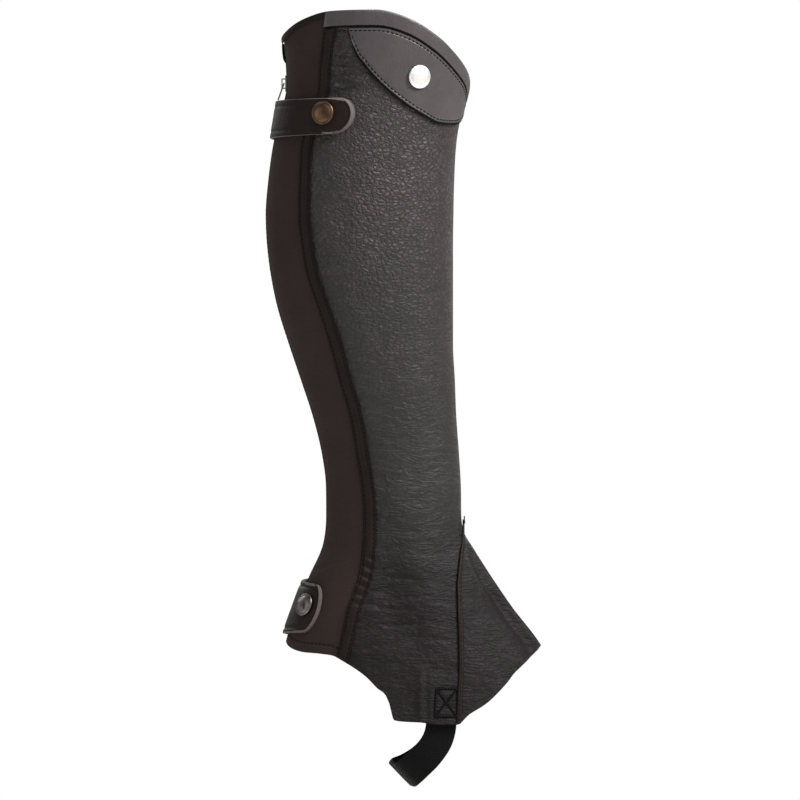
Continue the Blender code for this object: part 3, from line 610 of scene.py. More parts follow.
def pebbled_leather(look):
    """Full-grain cowhide, tumbled so that it pebbles and creases, dyed dark grey: satin and uneven."""
    material, tree, shader = new_material("tumbled_cowhide", look.grain_light, 0.5, 0.38)
    place = add(tree, "TexCoord").outputs["Object"]
    height = add(tree, "SeparateXYZ", None, {"Vector": place}).outputs["Z"]
    # Pebbles as wide as the grain size and a little less tall, with winding edges
    squash = add(tree, "Mapping", {"Scale": (1.0, 1.0, 1.35)}, {"Vector": place})
    wander = add(tree, "TexNoise", {"Scale": 300.0, "Detail": 3.0, "Roughness": 0.6}, {"Vector": squash})
    winding = {"operation": "MULTIPLY_ADD", 1: (0.004, 0.004, 0.004)}
    pushed = add(tree, "VectorMath", winding, {0: wander.outputs["Color"], 2: squash})
    edges = {"feature": "DISTANCE_TO_EDGE", "Scale": 1 / look.grain_size}
    cells = add(tree, "TexVoronoi", edges, {"Vector": pushed})
    slopes = add(tree, "MapRange", {"From Min": 0.0, "From Max": 0.42}, {"Value": cells})
    pebbles = add(tree, "Math", {"operation": "POWER", 1: 0.6}, {0: slopes})
    # Wrinkles that lie round the leg, 3 to 4 mm apart, where a slow pattern crosses its middle value
    level = add(tree, "Mapping", {"Scale": (62.0, 62.0, 215.0)}, {"Vector": place})
    slow_look = {"Scale": 1.0, "Detail": 2.5, "Roughness": 0.55, "Distortion": 0.9}
    slow = add(tree, "TexNoise", slow_look, {"Vector": level})
    off_middle = add(tree, "Math", {"operation": "SUBTRACT", 1: 0.5}, {0: slow})
    either_side = add(tree, "Math", {"operation": "ABSOLUTE"}, {0: off_middle})
    soft = {"interpolation_type": "SMOOTHERSTEP", "From Min": 0.0, "From Max": 0.16, "To Max": 0.55}
    creases = add(tree, "MapRange", soft, {"Value": either_side})
    # Rounded ripples between the creases
    turn = {"Location": (3.1, 1.7, 5.3), "Rotation": (0.12, 0.1, 0.0), "Scale": (75.0, 75.0, 250.0)}
    turned_level = add(tree, "Mapping", turn, {"Vector": place})
    ripple_look = {"Scale": 1.0, "Detail": 1.2, "Roughness": 0.5, "Distortion": 0.6}
    ripples = add(tree, "TexNoise", ripple_look, {"Vector": turned_level})
    wrinkles = add(tree, "Math", {"operation": "MULTIPLY_ADD", 1: 1.3}, {0: ripples, 2: creases})
    # The wrinkles grow from the middle of the calf to the ankle, and the pebbles fade there
    reach = {"From Min": 0.04, "From Max": -0.2, "To Min": 0.25, "To Max": 1.0}
    creased = add(tree, "MapRange", {"interpolation_type": "SMOOTHSTEP", **reach}, {"Value": height})
    by_crease = {"From Min": 0.25, "From Max": 1.0}
    plain = add(tree, "MapRange", {**by_crease, "To Min": 0.6, "To Max": 0.14}, {"Value": creased})
    # Heights in millimetres: pebbles, wrinkles, pores of 0.8 mm and slow waves of 22 mm
    deep = add(tree, "Math", {"operation": "MULTIPLY"}, {0: wrinkles, 1: creased})
    pores = add(tree, "TexNoise", {"Scale": 1250.0, "Detail": 3.0}, {"Vector": place})
    waves = add(tree, "TexNoise", {"Scale": 46.0, "Detail": 2.0}, {"Vector": place})
    relief = add(tree, "Math", {"operation": "MULTIPLY"}, {0: pebbles, 1: plain})
    for pattern, rise in ((deep, 0.52), (pores, 0.14), (waves, 2.6)):
        relief = add(tree, "Math", {"operation": "MULTIPLY_ADD", 1: rise}, {0: pattern, 2: relief})
    bump = add(tree, "Bump", {"Strength": 1.0, "Distance": MM}, {"Height": relief})
    # Painted shade: the colour is darkest in the valleys and creases. The crowns are lighter in patches 60
    # mm across, which is random tone
    crowns = add(tree, "Math", {"operation": "MULTIPLY"}, {0: pebbles, 1: wrinkles})
    patches = add(tree, "TexNoise", {"Scale": 16.0, "Detail": 3.0}, {"Vector": place})
    # Painted shade: the colour is darker towards the ankle and lighter on the shin and calf
    painted_ankle_shade = add(tree, "MapRange", {**by_crease, "To Min": 1.34, "To Max": 0.34}, {"Value": creased})
    painted_shade_and_patches = add(tree, "Math", {"operation": "MULTIPLY"}, {0: painted_ankle_shade, 1: patches})
    blend = add(tree, "Math", {"operation": "MULTIPLY", "use_clamp": True}, {0: crowns, 1: painted_shade_and_patches})
    grain_and_shade_colours = {"data_type": "RGBA", 6: look.grain_dark, 7: look.grain_light}
    tint = add(tree, "Mix", grain_and_shade_colours, {0: blend}).outputs[2]
    shine = add(tree, "MapRange", {"To Min": 0.66, "To Max": 0.4}, {"Value": blend})
    # The waxed finish is still on the shin and calf, and is gone from the foot
    foot = {"From Min": -0.255, "From Max": -0.18, "To Min": 0.19, "To Max": 0.44}
    wax = add(tree, "MapRange", foot, {"Value": height})
    wire(tree, shader, {"Base Color": tint, "Roughness": shine, "Specular IOR Level": wax, "Normal": bump})
    return material


def fine_leather(name, dark, light, roughness, gloss, relief_size=0.00022):
    """Corrected leather: an even face with pores of about 0.9 mm and faint cloudy dye."""
    material, tree, shader = new_material(name, light, roughness, gloss)
    place = add(tree, "TexCoord").outputs["Object"]
    pores = add(tree, "TexVoronoi", {"feature": "F1", "Scale": 1100.0, "Randomness": 1.0}, {"Vector": place})
    skin_look = {"Scale": 420.0, "Detail": 4.0, "Roughness": 0.62}
    skin_lines = add(tree, "TexNoise", skin_look, {"Vector": place})
    relief = add(tree, "Math", {"operation": "MULTIPLY_ADD", 1: 0.5}, {0: pores, 2: skin_lines})
    # Soft unevenness 25 mm across, which breaks up the highlights
    waves = add(tree, "TexNoise", {"Scale": 40.0, "Detail": 2.0}, {"Vector": place})
    relief = add(tree, "Math", {"operation": "MULTIPLY_ADD", 1: 7.0}, {0: waves, 2: relief})
    bump = add(tree, "Bump", {"Strength": 0.8, "Distance": relief_size}, {"Height": relief})
    clouds = add(tree, "TexNoise", {"Scale": 55.0, "Detail": 4.0}, {"Vector": place})
    tint = add(tree, "Mix", {"data_type": "RGBA", 6: dark, 7: light}, {0: clouds}).outputs[2]
    uneven = {"To Min": roughness - 0.07, "To Max": roughness + 0.09}
    shine = add(tree, "MapRange", uneven, {"Value": skin_lines})
    wire(tree, shader, {"Base Color": tint, "Roughness": shine, "Normal": bump})
    return material


def smooth_leather(look):
    """Corrected-grain cowhide, rolled flat and waxed: broad soft highlights."""
    return fine_leather("smooth_waxed_cowhide", look.smooth_dark, look.smooth_light, 0.36, 0.42, 0.0003)


def tab_leather(look):
    """Dense strap leather, dyed brown-black: duller than the band."""
    return fine_leather("strap_leather", look.tab_dark, look.tab_light, 0.55, 0.1)


def edge_leather(look):
    """The tabs' cut edge, its undyed core sanded: light and dull."""
    return fine_leather("cut_leather_edge", look.edge_dark, look.edge_light, 0.7, 0.3, 0.0003)


def ink_and_painted_shadow(_look):
    """Black edge ink on skived edges, nearly matt, and painted shadow along the edges of the band, patch,
    strips and piping.
    """
    return fine_leather("inked_leather_edge", colour("#080707"), colour("#0f0d0d"), 0.7, 0.06)


def lining(look):
    """Flesh side of the leather, sueded: no gloss and a short nap."""
    return fine_leather("suede_lining", look.lining_dark, look.lining_light, 0.92, 0.1, 0.0004)


def woven(name, dark, light, across, along, roughness, gloss, distance):
    """Cloth whose ribs follow its UV map, across and along being the thread pitches in metres."""
    material, tree, shader = new_material(name, light, roughness, gloss)
    place = add(tree, "UVMap", {"uv_map": "UVMap"})
    uneven = {"wave_type": "BANDS", "Distortion": 0.4, "Detail": 1.0, "Detail Scale": 1.5}
    ribs = []
    for direction, pitch in (("X", across), ("Y", along)):
        # A band pattern repeats 10 / pi times for each unit of its scale
        bands = {"bands_direction": direction, "Scale": math.pi / 10 / pitch}
        ribs.append(add(tree, "TexWave", {**uneven, **bands}, {"Vector": place}).outputs["Fac"])
    weave = add(tree, "Math", {"operation": "MULTIPLY"}, {0: ribs[0], 1: ribs[1]})
    fuzz = add(tree, "TexNoise", {"Scale": 900.0, "Detail": 3.0}, {"Vector": place})
    relief = add(tree, "Math", {"operation": "MULTIPLY_ADD", 1: 0.5}, {0: fuzz, 2: weave})
    bump = add(tree, "Bump", {"Strength": 0.7, "Distance": distance}, {"Height": relief})
    clouds = add(tree, "TexNoise", {"Scale": 30.0, "Detail": 3.0}, {"Vector": place})
    # Painted shade: the colour is darker between the ribs, and varies in cloudy patches as random tone
    shade = add(tree, "Math", {"operation": "MULTIPLY"}, {0: relief, 1: clouds})
    tint = add(tree, "Mix", {"data_type": "RGBA", 6: dark, 7: light}, {0: shade}).outputs[2]
    wire(tree, shader, {"Base Color": tint, "Normal": bump})
    return material


def stretch_fabric(look):
    """Knitted polyamide and elastane: ribs 0.9 mm apart, matt. Drawn twice as coarse as it is."""
    return woven("stretch_knit", look.stretch_dark, look.stretch_light, 0.0009, 0.0013, 0.92, 0.08, 0.00016)


def zip_tape(look):
    """Woven polyester zip tape: a fine twill, drawn at 1.1 mm so that it shows."""
    return woven("zip_tape_weave", look.tape_dark, look.tape_light, 0.0011, 0.0011, 0.8, 0.15, 0.0002)


def webbing(look):
    """Woven elastic: rubber cores under thread, so that ribs 1.6 mm apart run along it."""
    return woven(
        "woven_elastic", look.elastic_dark, look.elastic_light, 0.0016, 0.0012, 0.8, 0.08, 0.0003
    )


def thread(look):
    """Bonded polyester thread, twisted: a slight gloss. Its near-black colour is partly painted shade of the
    grooves it lies in.
    """
    material, tree, shader = new_material("bonded_thread", look.thread, 0.75, 0.08)
    place = add(tree, "TexCoord").outputs["Object"]
    twist = add(tree, "TexNoise", {"Scale": 2500.0, "Detail": 2.0}, {"Vector": place})
    bump = add(tree, "Bump", {"Strength": 0.5, "Distance": 0.0001}, {"Height": twist})
    wire(tree, shader, {"Normal": bump})
    return material


def metal(name, base, dark, roughness, relief_size):
    """A plated metal with faint mottling and tarnish in patches of 4 mm."""
    base, dark = colour(base), colour(dark)
    material, tree, shader = new_material(name, base, roughness, metallic=1.0)
    place = add(tree, "TexCoord").outputs["Object"]
    tarnish = add(tree, "TexNoise", {"Scale": 230.0, "Detail": 1.0, "Roughness": 0.5}, {"Vector": place})
    amount = add(tree, "MapRange", {"From Min": 0.35, "From Max": 0.75}, {"Value": tarnish})
    tint = add(tree, "Mix", {"data_type": "RGBA", 6: base, 7: dark}, {0: amount}).outputs[2]
    uneven = {"To Min": roughness - 0.06, "To Max": roughness + 0.14}
    shine = add(tree, "MapRange", uneven, {"Value": tarnish})
    bump = add(tree, "Bump", {"Strength": 0.03, "Distance": relief_size}, {"Height": tarnish})
    wire(tree, shader, {"Base Color": tint, "Roughness": shine, "Normal": bump})
    return material


def nickel(_look):
    """Nickel plate on brass, softly polished."""
    return metal("polished_nickel", "#e6e3e0", "#dad7d3", 0.46, 0.00002)


def slider_metal(_look):
    """Nickel-plated zinc, cast and tumbled: duller, and dark in patches."""
    return metal("cast_nickel", "#a9a59f", "#4b4744", 0.32, 0.00004)


def aged_brass(_look):
    """Antiqued brass under brown lacquer that is rubbed thin in patches."""
    return metal("antiqued_brass", "#66513e", "#3f3127", 0.4, 0.00004)


def gunmetal(_look):
    """Black nickel plate, worn to grey."""
    return metal("worn_black_nickel", "#7d7674", "#3c3837", 0.4, 0.00004)


def coil(_look):
    """Nylon zip coil, moulded: near black with a soft gloss."""
    material, tree, shader = new_material("nylon_zip_coil", colour("#141213"), 0.42, 0.25)
    place = add(tree, "TexCoord").outputs["Object"]
    wear = add(tree, "TexNoise", {"Scale": 300.0}, {"Vector": place})
    shine = add(tree, "MapRange", {"To Min": 0.3, "To Max": 0.5}, {"Value": wear})
    wire(tree, shader, {"Roughness": shine})
    return material


MAKERS = {
    "pebbled": pebbled_leather,
    "smooth": smooth_leather,
    "tab": tab_leather,
    "edge": edge_leather,
    "ink_and_shadow": ink_and_painted_shadow,
    "lining": lining,
    "stretch": stretch_fabric,
    "tape": zip_tape,
    "elastic": webbing,
    "thread": thread,
    "nickel": nickel,
    "slider": slider_metal,
    "brass": aged_brass,
    "gunmetal": gunmetal,
    "coil": coil,
}

# A leather piece's finishes: its face, its inner face and its edge. The black edge ink also paints a shadow
# line along the edges of some faces
PEBBLED = ("pebbled", "lining", "ink_and_shadow")
INKED_SHADOWED_STRIP = ("tab", "lining", "ink_and_shadow")
INKED_SHADOWED_SMOOTH = ("smooth", "lining", "ink_and_shadow")
SANDED_TAB = ("tab", "lining", "edge")


# Lines on the leg


def outer_edge(height):
    return seam_angle(height, -GAP / 2)


def slit_edge(side, distance=GAP / 2):
    """The line of the vamp's slit on one side of the shin: -1 is the outer side and 1 the inner."""

    def line(height):
        return -side * np.where(height < VAMP_TOP, vamp_angle(height, distance), 0.0)

    return line


def inner_edge(height):
    return zip_angle(height, -ZIP_OPENING)


def stretch_edge(height):
    return zip_angle(height, ZIP_OPENING)


def tab_place(tab):
    """A function from a share of the length and of the height to an angle, a height and a lift."""
    steps = [(0.0, tab.tip)]
    while steps[-1][1] < tab.sewn:
        travelled, angle = steps[-1]
        steps.append((travelled + 1, float(moved(angle, tab.tip_height, 1))))
    angle_after = Curve(steps)
    length = steps[-1][0]

    def place(along, across):
        half = tab.tip_half + (tab.sewn_half - tab.tip_half) * along
        start = tab.round * (1 - np.sqrt(np.clip(1 - across * across, 0, 1)))
        angle = angle_after(start + (length - start) * along)
        middle = tab.tip_height + (tab.sewn_height - tab.tip_height) * along
        rising = eased((angle - tab.tip) / (BACK_CENTRE - tab.tip))
        falling = 1 - eased((angle - BACK_CENTRE) / (tab.sewn - BACK_CENTRE))
        before = angle < BACK_CENTRE
        near_zip = np.where(before, rising, falling)
        end = np.where(before, tab.lift_tip, tab.lift_sewn)
        lift = end + (tab.lift_zip - end) * near_zip
        return angle, middle + half * across, lift + tab.flare * across * near_zip

    return place


# Small parts


def facing(angle, height, lift):
    """A frame on the leg: X round it, Y up it and Z straight out."""
    z_axis = Vector(outward(angle, height))
    y_axis = Vector((0, 0, 1)) - z_axis * z_axis.z
    y_axis.normalize()
    x_axis = y_axis.cross(z_axis)
    place = Matrix((x_axis, y_axis, z_axis)).transposed().to_4x4()
    place.translation = Vector(skin(angle, height, lift)) * MM
    return place


def seat(cap, lift):
    """Where a flat cap's base lies on a curved face lifted off the leg."""
    centre = skin(cap.angle, cap.height)
    out = outward(cap.angle, cap.height)
    reach = lift
    for turn in range(0, 360, 30):
        angle = moved(cap.angle, cap.height, cap.diameter / 2 * math.cos(math.radians(turn)))
        height = cap.height + cap.diameter / 2 * math.sin(math.radians(turn))
        reach = max(reach, float(np.dot(skin(angle, height, lift) - centre, out)))
    return facing(cap.angle, cap.height, reach + GAP)


def turned(name, profile, place, material, node, steps=72):
    """A turned piece from its profile of radius and height in mm."""
    bm = bmesh.new()
    verts = [bm.verts.new((radius * MM, 0, height * MM)) for radius, height in profile]
    edges = [bm.edges.new(pair) for pair in zip(verts, verts[1:])]
    bmesh.ops.spin(
        bm,
        geom=verts + edges,
        cent=(0, 0, 0),
        axis=(0, 0, 1),
        dvec=(0, 0, 0),
        angle=math.tau,
        steps=steps,
        use_merge=True,
        use_duplicate=False,
    )
    bmesh.ops.remove_doubles(bm, verts=bm.verts[:], dist=0.000005)
    bmesh.ops.recalc_face_normals(bm, faces=bm.faces[:])
    bmesh.ops.transform(bm, matrix=place, verts=bm.verts[:])
    mesh = bpy.data.meshes.new(name)
    bm.to_mesh(mesh)
    bm.free()
    return add_piece(name, mesh, [material], replaces=node)


def beads(name, places, size, material, segments=(6, 4)):
    """One mesh of many small rounded beads, each with its own frame and the same size in mm."""
    scale = Matrix.Diagonal((*(Vector(size) * MM), 1))
    batches = []
    for first in range(0, len(places), BATCH):
        bm = bmesh.new()
        for place in places[first : first + BATCH]:
            bmesh.ops.create_uvsphere(
                bm, u_segments=segments[0], v_segments=segments[1], radius=0.5, matrix=place @ scale
            )
        batches.append(bpy.data.meshes.new(name))
        bm.to_mesh(batches[-1])
        bm.free()
    return add_piece(name, joined(name, batches), [material])


def frames_along(points, outs, pitch, start=0.5):
    """Frames a pitch apart along a line of points in mm: X along it and Z out."""
    step = np.linalg.norm(np.diff(points, axis=0), axis=1)
    travelled = np.concatenate(([0], np.cumsum(step)))
    count = max(int(travelled[-1] / pitch), 1)
    frames = []
    for i in range(count):
        at = (i + start) * travelled[-1] / count
        centre = np.array([np.interp(at, travelled, points[:, k]) for k in range(3)])
        ahead = np.array([np.interp(at + 0.5, travelled, points[:, k]) for k in range(3)])
        behind = np.array([np.interp(at - 0.5, travelled, points[:, k]) for k in range(3)])
        x_axis = Vector(ahead - behind).normalized()
        out = Vector([np.interp(at, travelled, outs[:, k]) for k in range(3)])
        y_axis = out.cross(x_axis).normalized()
        z_axis = x_axis.cross(y_axis)
        place = Matrix((x_axis, y_axis, z_axis)).transposed().to_4x4()
        place.translation = Vector(centre) * MM
        frames.append(place)
    return frames


def stitch_row(angle, height, lift, pitch=None):
    """Frames of a row of stitches along angles and heights."""
    pitch = pitch or bpy.context.scene.half_chap_sizes.stitch_pitch / MM
    return frames_along(skin(angle, height, lift), outward(angle, height), pitch)


def sew(name, rows, width=1.0):
    """One piece of all the stitches in some rows, with a thread width times as thick as usual."""
    sizes = bpy.context.scene.half_chap_sizes
    thick = sizes.thread_width / MM * width
    places = [place for row in rows for place in row]
    return beads(name, places, (sizes.stitch_length / MM, thick, thick * 0.8), finish("thread"))


def line_up(line, low, high, count=220):
    """Angles and heights up a line between two shares of the panel's height."""
    share = np.linspace(low, high, count)
    return meet(line, share)


# Pieces


def dip(away, half_width, depth):
    """How far a row of stitches draws a face in at a distance from it."""
    return depth * np.exp(-((away / half_width) ** 2))


def sewn_face(beside, half, rows=()):
    """How far a trim's face stands up across it: crowned, and dipped at its edges and its stitches."""
    crown = TRIM_CROWN * (1 - (beside / half) ** 2)
    edges = TRIM_EDGE_DROP * eased((np.abs(beside) - half) / INK_WIDTH + 1)
    return crown - edges - sum(dip(beside - row, *TRIM_DIP) for row in rows)


def box_lines():
    """The boxed cross that holds the elastic: ends along X and Z of its sides and diagonals."""
    box = ELASTIC_BOX
    low_back, low_front = (box.back, box.low), (box.front, box.low)
    high_back, high_front = (box.back + CROSS_SHIFT, box.high), (box.front, box.high)
    return [
        (low_back, low_front),
        (low_front, high_front),
        (high_front, high_back),
        (high_back, low_back),
        (low_back, high_front),
        (high_back, low_front),
    ]


def over_elastic(angle, height):
    """How far the sewn-in elastic lifts the leather, less its boxed cross."""
    x = bare_skin(angle, height)[..., 0]
    raised = ELASTIC_RISE * eased((x - ELASTIC_BACK) / 1.6) * eased((ELASTIC_FRONT - x) / 2.0)
    raised = raised * eased((ELASTIC_TOP - height) / 7.0)
    drawn = np.zeros(x.shape)
    for (x_start, z_start), (x_stop, z_stop) in box_lines():
        run, rise = x_stop - x_start, z_stop - z_start
        share = ((x - x_start) * run + (height - z_start) * rise) / (run * run + rise * rise)
        share = np.clip(share, 0, 1)
        away = np.hypot(x - x_start - share * run, height - z_start - share * rise)
        drawn = np.maximum(drawn, dip(away, *CROSS_DIP))
    fold = dip(x - ELASTIC_FOLD, *ELASTIC_FOLD_DIP) * eased((ELASTIC_FOLD_TOP - height) / 12.0)
    return raised + fold - drawn


def make_leather_panel():
    halves = []
    for first, second, columns in (
        (outer_edge, slit_edge(-1), 80),
        (slit_edge(1), inner_edge, 66),
    ):
        angle, height = strip(first, second, columns, PANEL_SHARES)
        lift = over_elastic(angle, height)
        lift = lift - dip(PANEL_SHARES - BAND_ROW_SHARE, *BAND_ROW_DIP)[:, None]
        halves.append(skin(angle, height, lift))
    mesh = joined("leather_panel", [grid("half", points) for points in halves], 0.33)
    piece = add_piece(
        "leather_main_panel",
        mesh,
        [finish(kind) for kind in PEBBLED],
        replaces="leather_panel",
    )
    thicken(piece, LEATHER, 0)
    widths = [flat_size(points) for points in halves]
    length = max(widths[0][1], widths[1][1])


def make_stretch_panel():
    angle, height = strip(stretch_edge, lambda h: seam_angle(h, GAP / 2), 48, PANEL_SHARES)
    hem = dip(height - HEM(np.abs(wrapped(angle))) - STRETCH_HEM, *HEM_DIP)
    points = skin(angle, height, -hem)
    piece = make_sheet("stretch_back_panel", points, ["stretch"] * 3, "stretch_panel", LEATHER)
    declare_sheet(points)


def make_seam_strip():
    shares = PANEL_SHARES[PANEL_SHARES < 1]
    top = 1 - BAND_CLEAR / (TOP_AT_SEAM - BAND_DEPTH - HEM_AT_SEAM)
    shares = np.append(shares[:-1], top)
    columns = 18
    angle, height = strip(
        lambda h: seam_angle(h, STRIP_HALF), lambda h: seam_angle(h, -STRIP_HALF), columns, shares
    )
    beside = np.linspace(-STRIP_HALF, STRIP_HALF, columns + 1)[None, :]
    points = skin(angle, height, GAP + TRIM + sewn_face(beside, STRIP_HALF, (-STRIP_ROW, STRIP_ROW)))
    slots = np.zeros((len(shares) - 1, columns), int)
    # Painted shadow: the outermost column on each side of the strip's face takes the black ink
    slots[:, [0, -1]] = 2
    make_sheet("seam_cover_strip", points, INKED_SHADOWED_STRIP, "seam_strip", TRIM, 0.2, slots)


def make_top_band():
    up = np.array([0, 0.4, 0.8, 1.4, 2.0, 2.6, 4.0, 6.0, 8.0, 9.8, 10.7, 11.5])
    columns = 150
    angle, height = strip(lambda h: seam_angle(h, STRIP_HALF), inner_edge, columns, 1 + up / BAND_DEPTH)
    rise = sewn_face(up - BAND_DEPTH / 2, BAND_DEPTH / 2)[:, None]
    points = skin(angle, height, GAP + TRIM + rise)
    slots = np.zeros((len(up) - 1, columns), int)
    # Painted shadow: the band's lowest 1.4 mm takes the black ink
    slots[:3] = 2
    piece = make_sheet("top_band_leather", points, INKED_SHADOWED_SMOOTH, "top_band", TRIM, 0.3, slots)
    declare_sheet(points)


def make_top_binding():
    up = np.array([0, 0.5, 1.0, 2.0, 3.0, 3.5, 4.0])
    shares = 2 - (BINDING_DEPTH - up) / BAND_DEPTH
    angle, height = strip(stretch_edge, lambda h: seam_angle(h, STRIP_HALF + GAP), 48, shares)
    rise = 0.25 * (1 - (up / BINDING_DEPTH * 2 - 1) ** 2)[:, None]
    points = skin(angle, height, LAID + TAPE + rise)
    make_sheet("top_edge_binding", points, ["tape"] * 3, "top_binding", TAPE, 0.25)


def tape_teeth(side):
    """The line along one tape's toothed edge, which parts above the slider."""

    def line(height):
        open_share = np.clip((height - FORK_START) / FORK_LENGTH, 0, 1)
        return zip_angle(height, side * (TEETH_GAP + FORK_OPENING * open_share))

    return line


def make_zip():
    for name, side in (("zip_tape_outer", 1), ("zip_tape_inner", -1)):
        lines = [tape_teeth(side), lambda h, side=side: zip_angle(h, side * TAPE_REACH)]
        angle, height = strip(*(lines if side > 0 else lines[::-1]), 10, PANEL_SHARES)
        points = skin(angle, height, -LEATHER - GAP)
        piece = make_sheet(f"{name}_weave", points, ["tape"] * 3, name, TAPE)
        declare_sheet(points)
        angle, height = line_up(tape_teeth(side), 0.004, 2.0, 400)
        inwards = moved(angle, height, -side * COIL_INWARDS)
        line = skin(inwards, height, -LEATHER - GAP + COIL_RISE)
        start = 0.25 if side > 0 else 0.75
        places = frames_along(line, outward(inwards, height), COIL_PITCH, start)
        beads(f"{name}_coil", places, COIL_TURN, finish("coil"), (8, 6))
    for node in ("zip_slider", "zip_pull"):
        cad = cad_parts[node]
        cad.data.materials.clear()
        cad.data.materials.append(finish("slider"))


def ridge_pinch(angle, height):
    """A fold up the middle of the vamp: a trough on both sides of a ridge that narrows to its top."""
    trough = dip(np.abs(angle) - TROUGH_ANGLE, TROUGH_HALF, TROUGH_DEPTH)
    return trough * eased((TROUGH_TOP - height) / TROUGH_RUN)


def make_vamp():
    columns = 96

    def front_edge(height):
        return vamp_angle(height, -GAP / 2)

    angle, height = strip(front_edge, lambda h: -front_edge(h), columns, FOOT_SHARES)
    points = skin(angle, height, -ridge_pinch(angle, height))
    piece = make_sheet("vamp_leather", points, PEBBLED, "vamp", LEATHER)
    declare_sheet(points)
    for name, side in (("vamp_piping_outer", 1), ("vamp_piping_inner", -1)):
        columns = 10
        angle, height = strip(
            lambda h, side=side: side * vamp_angle(h, side * PIPING_HALF),
            lambda h, side=side: side * vamp_angle(h, -side * PIPING_HALF),
            columns,
            FOOT_SHARES[:-1],
        )
        beside = np.linspace(-PIPING_HALF, PIPING_HALF, columns + 1)[None, :]
        points = skin(angle, height, LAID + TRIM + sewn_face(beside, PIPING_HALF))
        slots = np.zeros((len(FOOT_SHARES) - 2, columns), int)
        # Painted shadow: the outermost column on each side of the piping's face takes the black ink
        slots[:, [0, -1]] = 2
        make_sheet(f"{name}_leather", points, INKED_SHADOWED_STRIP, name, TRIM, 0.2, slots)
    # The bar tack that locks the top of the vamp's seam
    places = []
    for i in range(TACK_STITCHES):
        level = np.full(2, VAMP_TOP - TACK_BELOW + i * TACK_STEP)
        angle = np.array([-1.0, 1.0]) * (TACK_REACH - abs(i - TACK_STITCHES // 2) * TACK_STEP)
        places += frames_along(skin(angle, level, LAID + TRIM + 0.5), outward(angle, level), 20)
    beads("vamp_bar_tack", places, TACK_STITCH, finish("coil"), (8, 6))


def above_patch_edge(angle, distance):
    """The height over the patch's lower edge, which slants, of a line that keeps a distance from it."""
    slope = (PATCH(angle + 0.5) - PATCH(angle - 0.5)) / KNEE_ARC
    return distance * np.minimum(np.sqrt(1 + slope**2), 2.3)


def make_front_patch():
    """The patch, with its lower edge skived and inked, partly painted shadow, and a row of stitches along
    both long edges.
    """
    low_rows = np.array([0, 0.4, 0.8, 1.2, 1.6, 2.2, 2.6, 3.0, 3.4, 3.8, 4.3, 5.2])
    top_rows = np.array([4.0, 3.2, 2.6, 2.2, 1.8, 1.4, 1.0, 0.5, 0])
    columns, middle_rows = 110, 18
    angle = np.linspace(PATCH_EDGE[-1].angle, PATCH_EDGE[0].angle, columns + 1)
    high = TOP(angle) - BAND_DEPTH - PATCH_GAP
    low = np.minimum(PATCH(angle), high - PATCH_END_HEIGHT)
    deep = high - low
    shrink = above_patch_edge(angle, 1.0)
    # Its rows close up where it is narrow
    shrink = np.minimum(shrink, deep / PATCH_NARROW)
    middle = np.linspace(0, 1, middle_rows + 2)[1:-1, None]
    over = np.minimum(1, deep / PATCH_NARROW)
    start, stop = low_rows[-1] * shrink, deep - top_rows[0] * over
    up = np.concatenate(
        (low_rows[:, None] * shrink, start + (stop - start) * middle, deep - top_rows[:, None] * over)
    )
    inside = up / shrink
    lift = LAID + TRIM - PATCH_EDGE_DROP * (1 - eased(inside / low_rows[3]))
    for away in (inside - PATCH_ROW, deep - up - PATCH_TOP_ROW):
        lift = lift - dip(away, *PATCH_DIP)
    angles = np.repeat(angle[None, :], len(up), axis=0)
    points = skin(angles, low + up, lift)
    slots = np.zeros((len(up) - 1, columns), int)
    # Painted shadow: the patch's lowest rows take the black ink
    slots[:4] = 2
    piece = make_sheet("front_patch_leather", points, INKED_SHADOWED_SMOOTH, "front_patch", TRIM, 0.25, slots)
    declare_sheet(points)
    cap_piece("patch_stud_cap", PATCH_STUD, LAID + TRIM, finish("nickel"), "patch_stud")


def cap_piece(name, cap, lift, material, node):
    """A pressed cap: a low dome inside a rolled rim."""
    radius = cap.diameter / 2
    top = cap.rise + cap.dome
    profile = [
        (0, top),
        (radius * 0.22, top * 0.99),
        (radius * 0.45, cap.rise + cap.dome * 0.82),
        (radius * 0.62, cap.rise + cap.dome * 0.5),
        (radius * 0.74, cap.rise + cap.dome * 0.12),
        (radius * 0.79, cap.rise * 0.82),
        (radius * 0.83, cap.rise * 0.85),
        (radius * 0.87, cap.rise * 1.0),
        (radius * 0.92, cap.rise * 1.03),
        (radius * 0.97, cap.rise * 0.88),
        (radius, cap.rise * 0.6),
        (radius * 0.985, cap.rise * 0.25),
        (radius * 0.94, 0.05),
        (radius * 0.9, 0),
        (0, 0),
    ]
    return turned(name, profile, seat(cap, lift), material, node)


# How a tab's border is finished, in mm: the light bevelled edge's width at the tip and along the
# sides, how far it drops, and the pressed line inside it with its depth. Every pressed line is as wide.
Border = namedtuple("Border", "bevel side drop line depth")
PRESSED_HALF = 0.7
# The top tab's light edge is widest at its rounded tip: partly the sanded edge, partly painted highlight
# where the light falls
TOP_BORDER = Border(2.6, 0.5, 1.1, 4.2, 0.3)
HEEL_BORDER = Border(1.5, 0.9, 0.5, 3.2, 0.6)


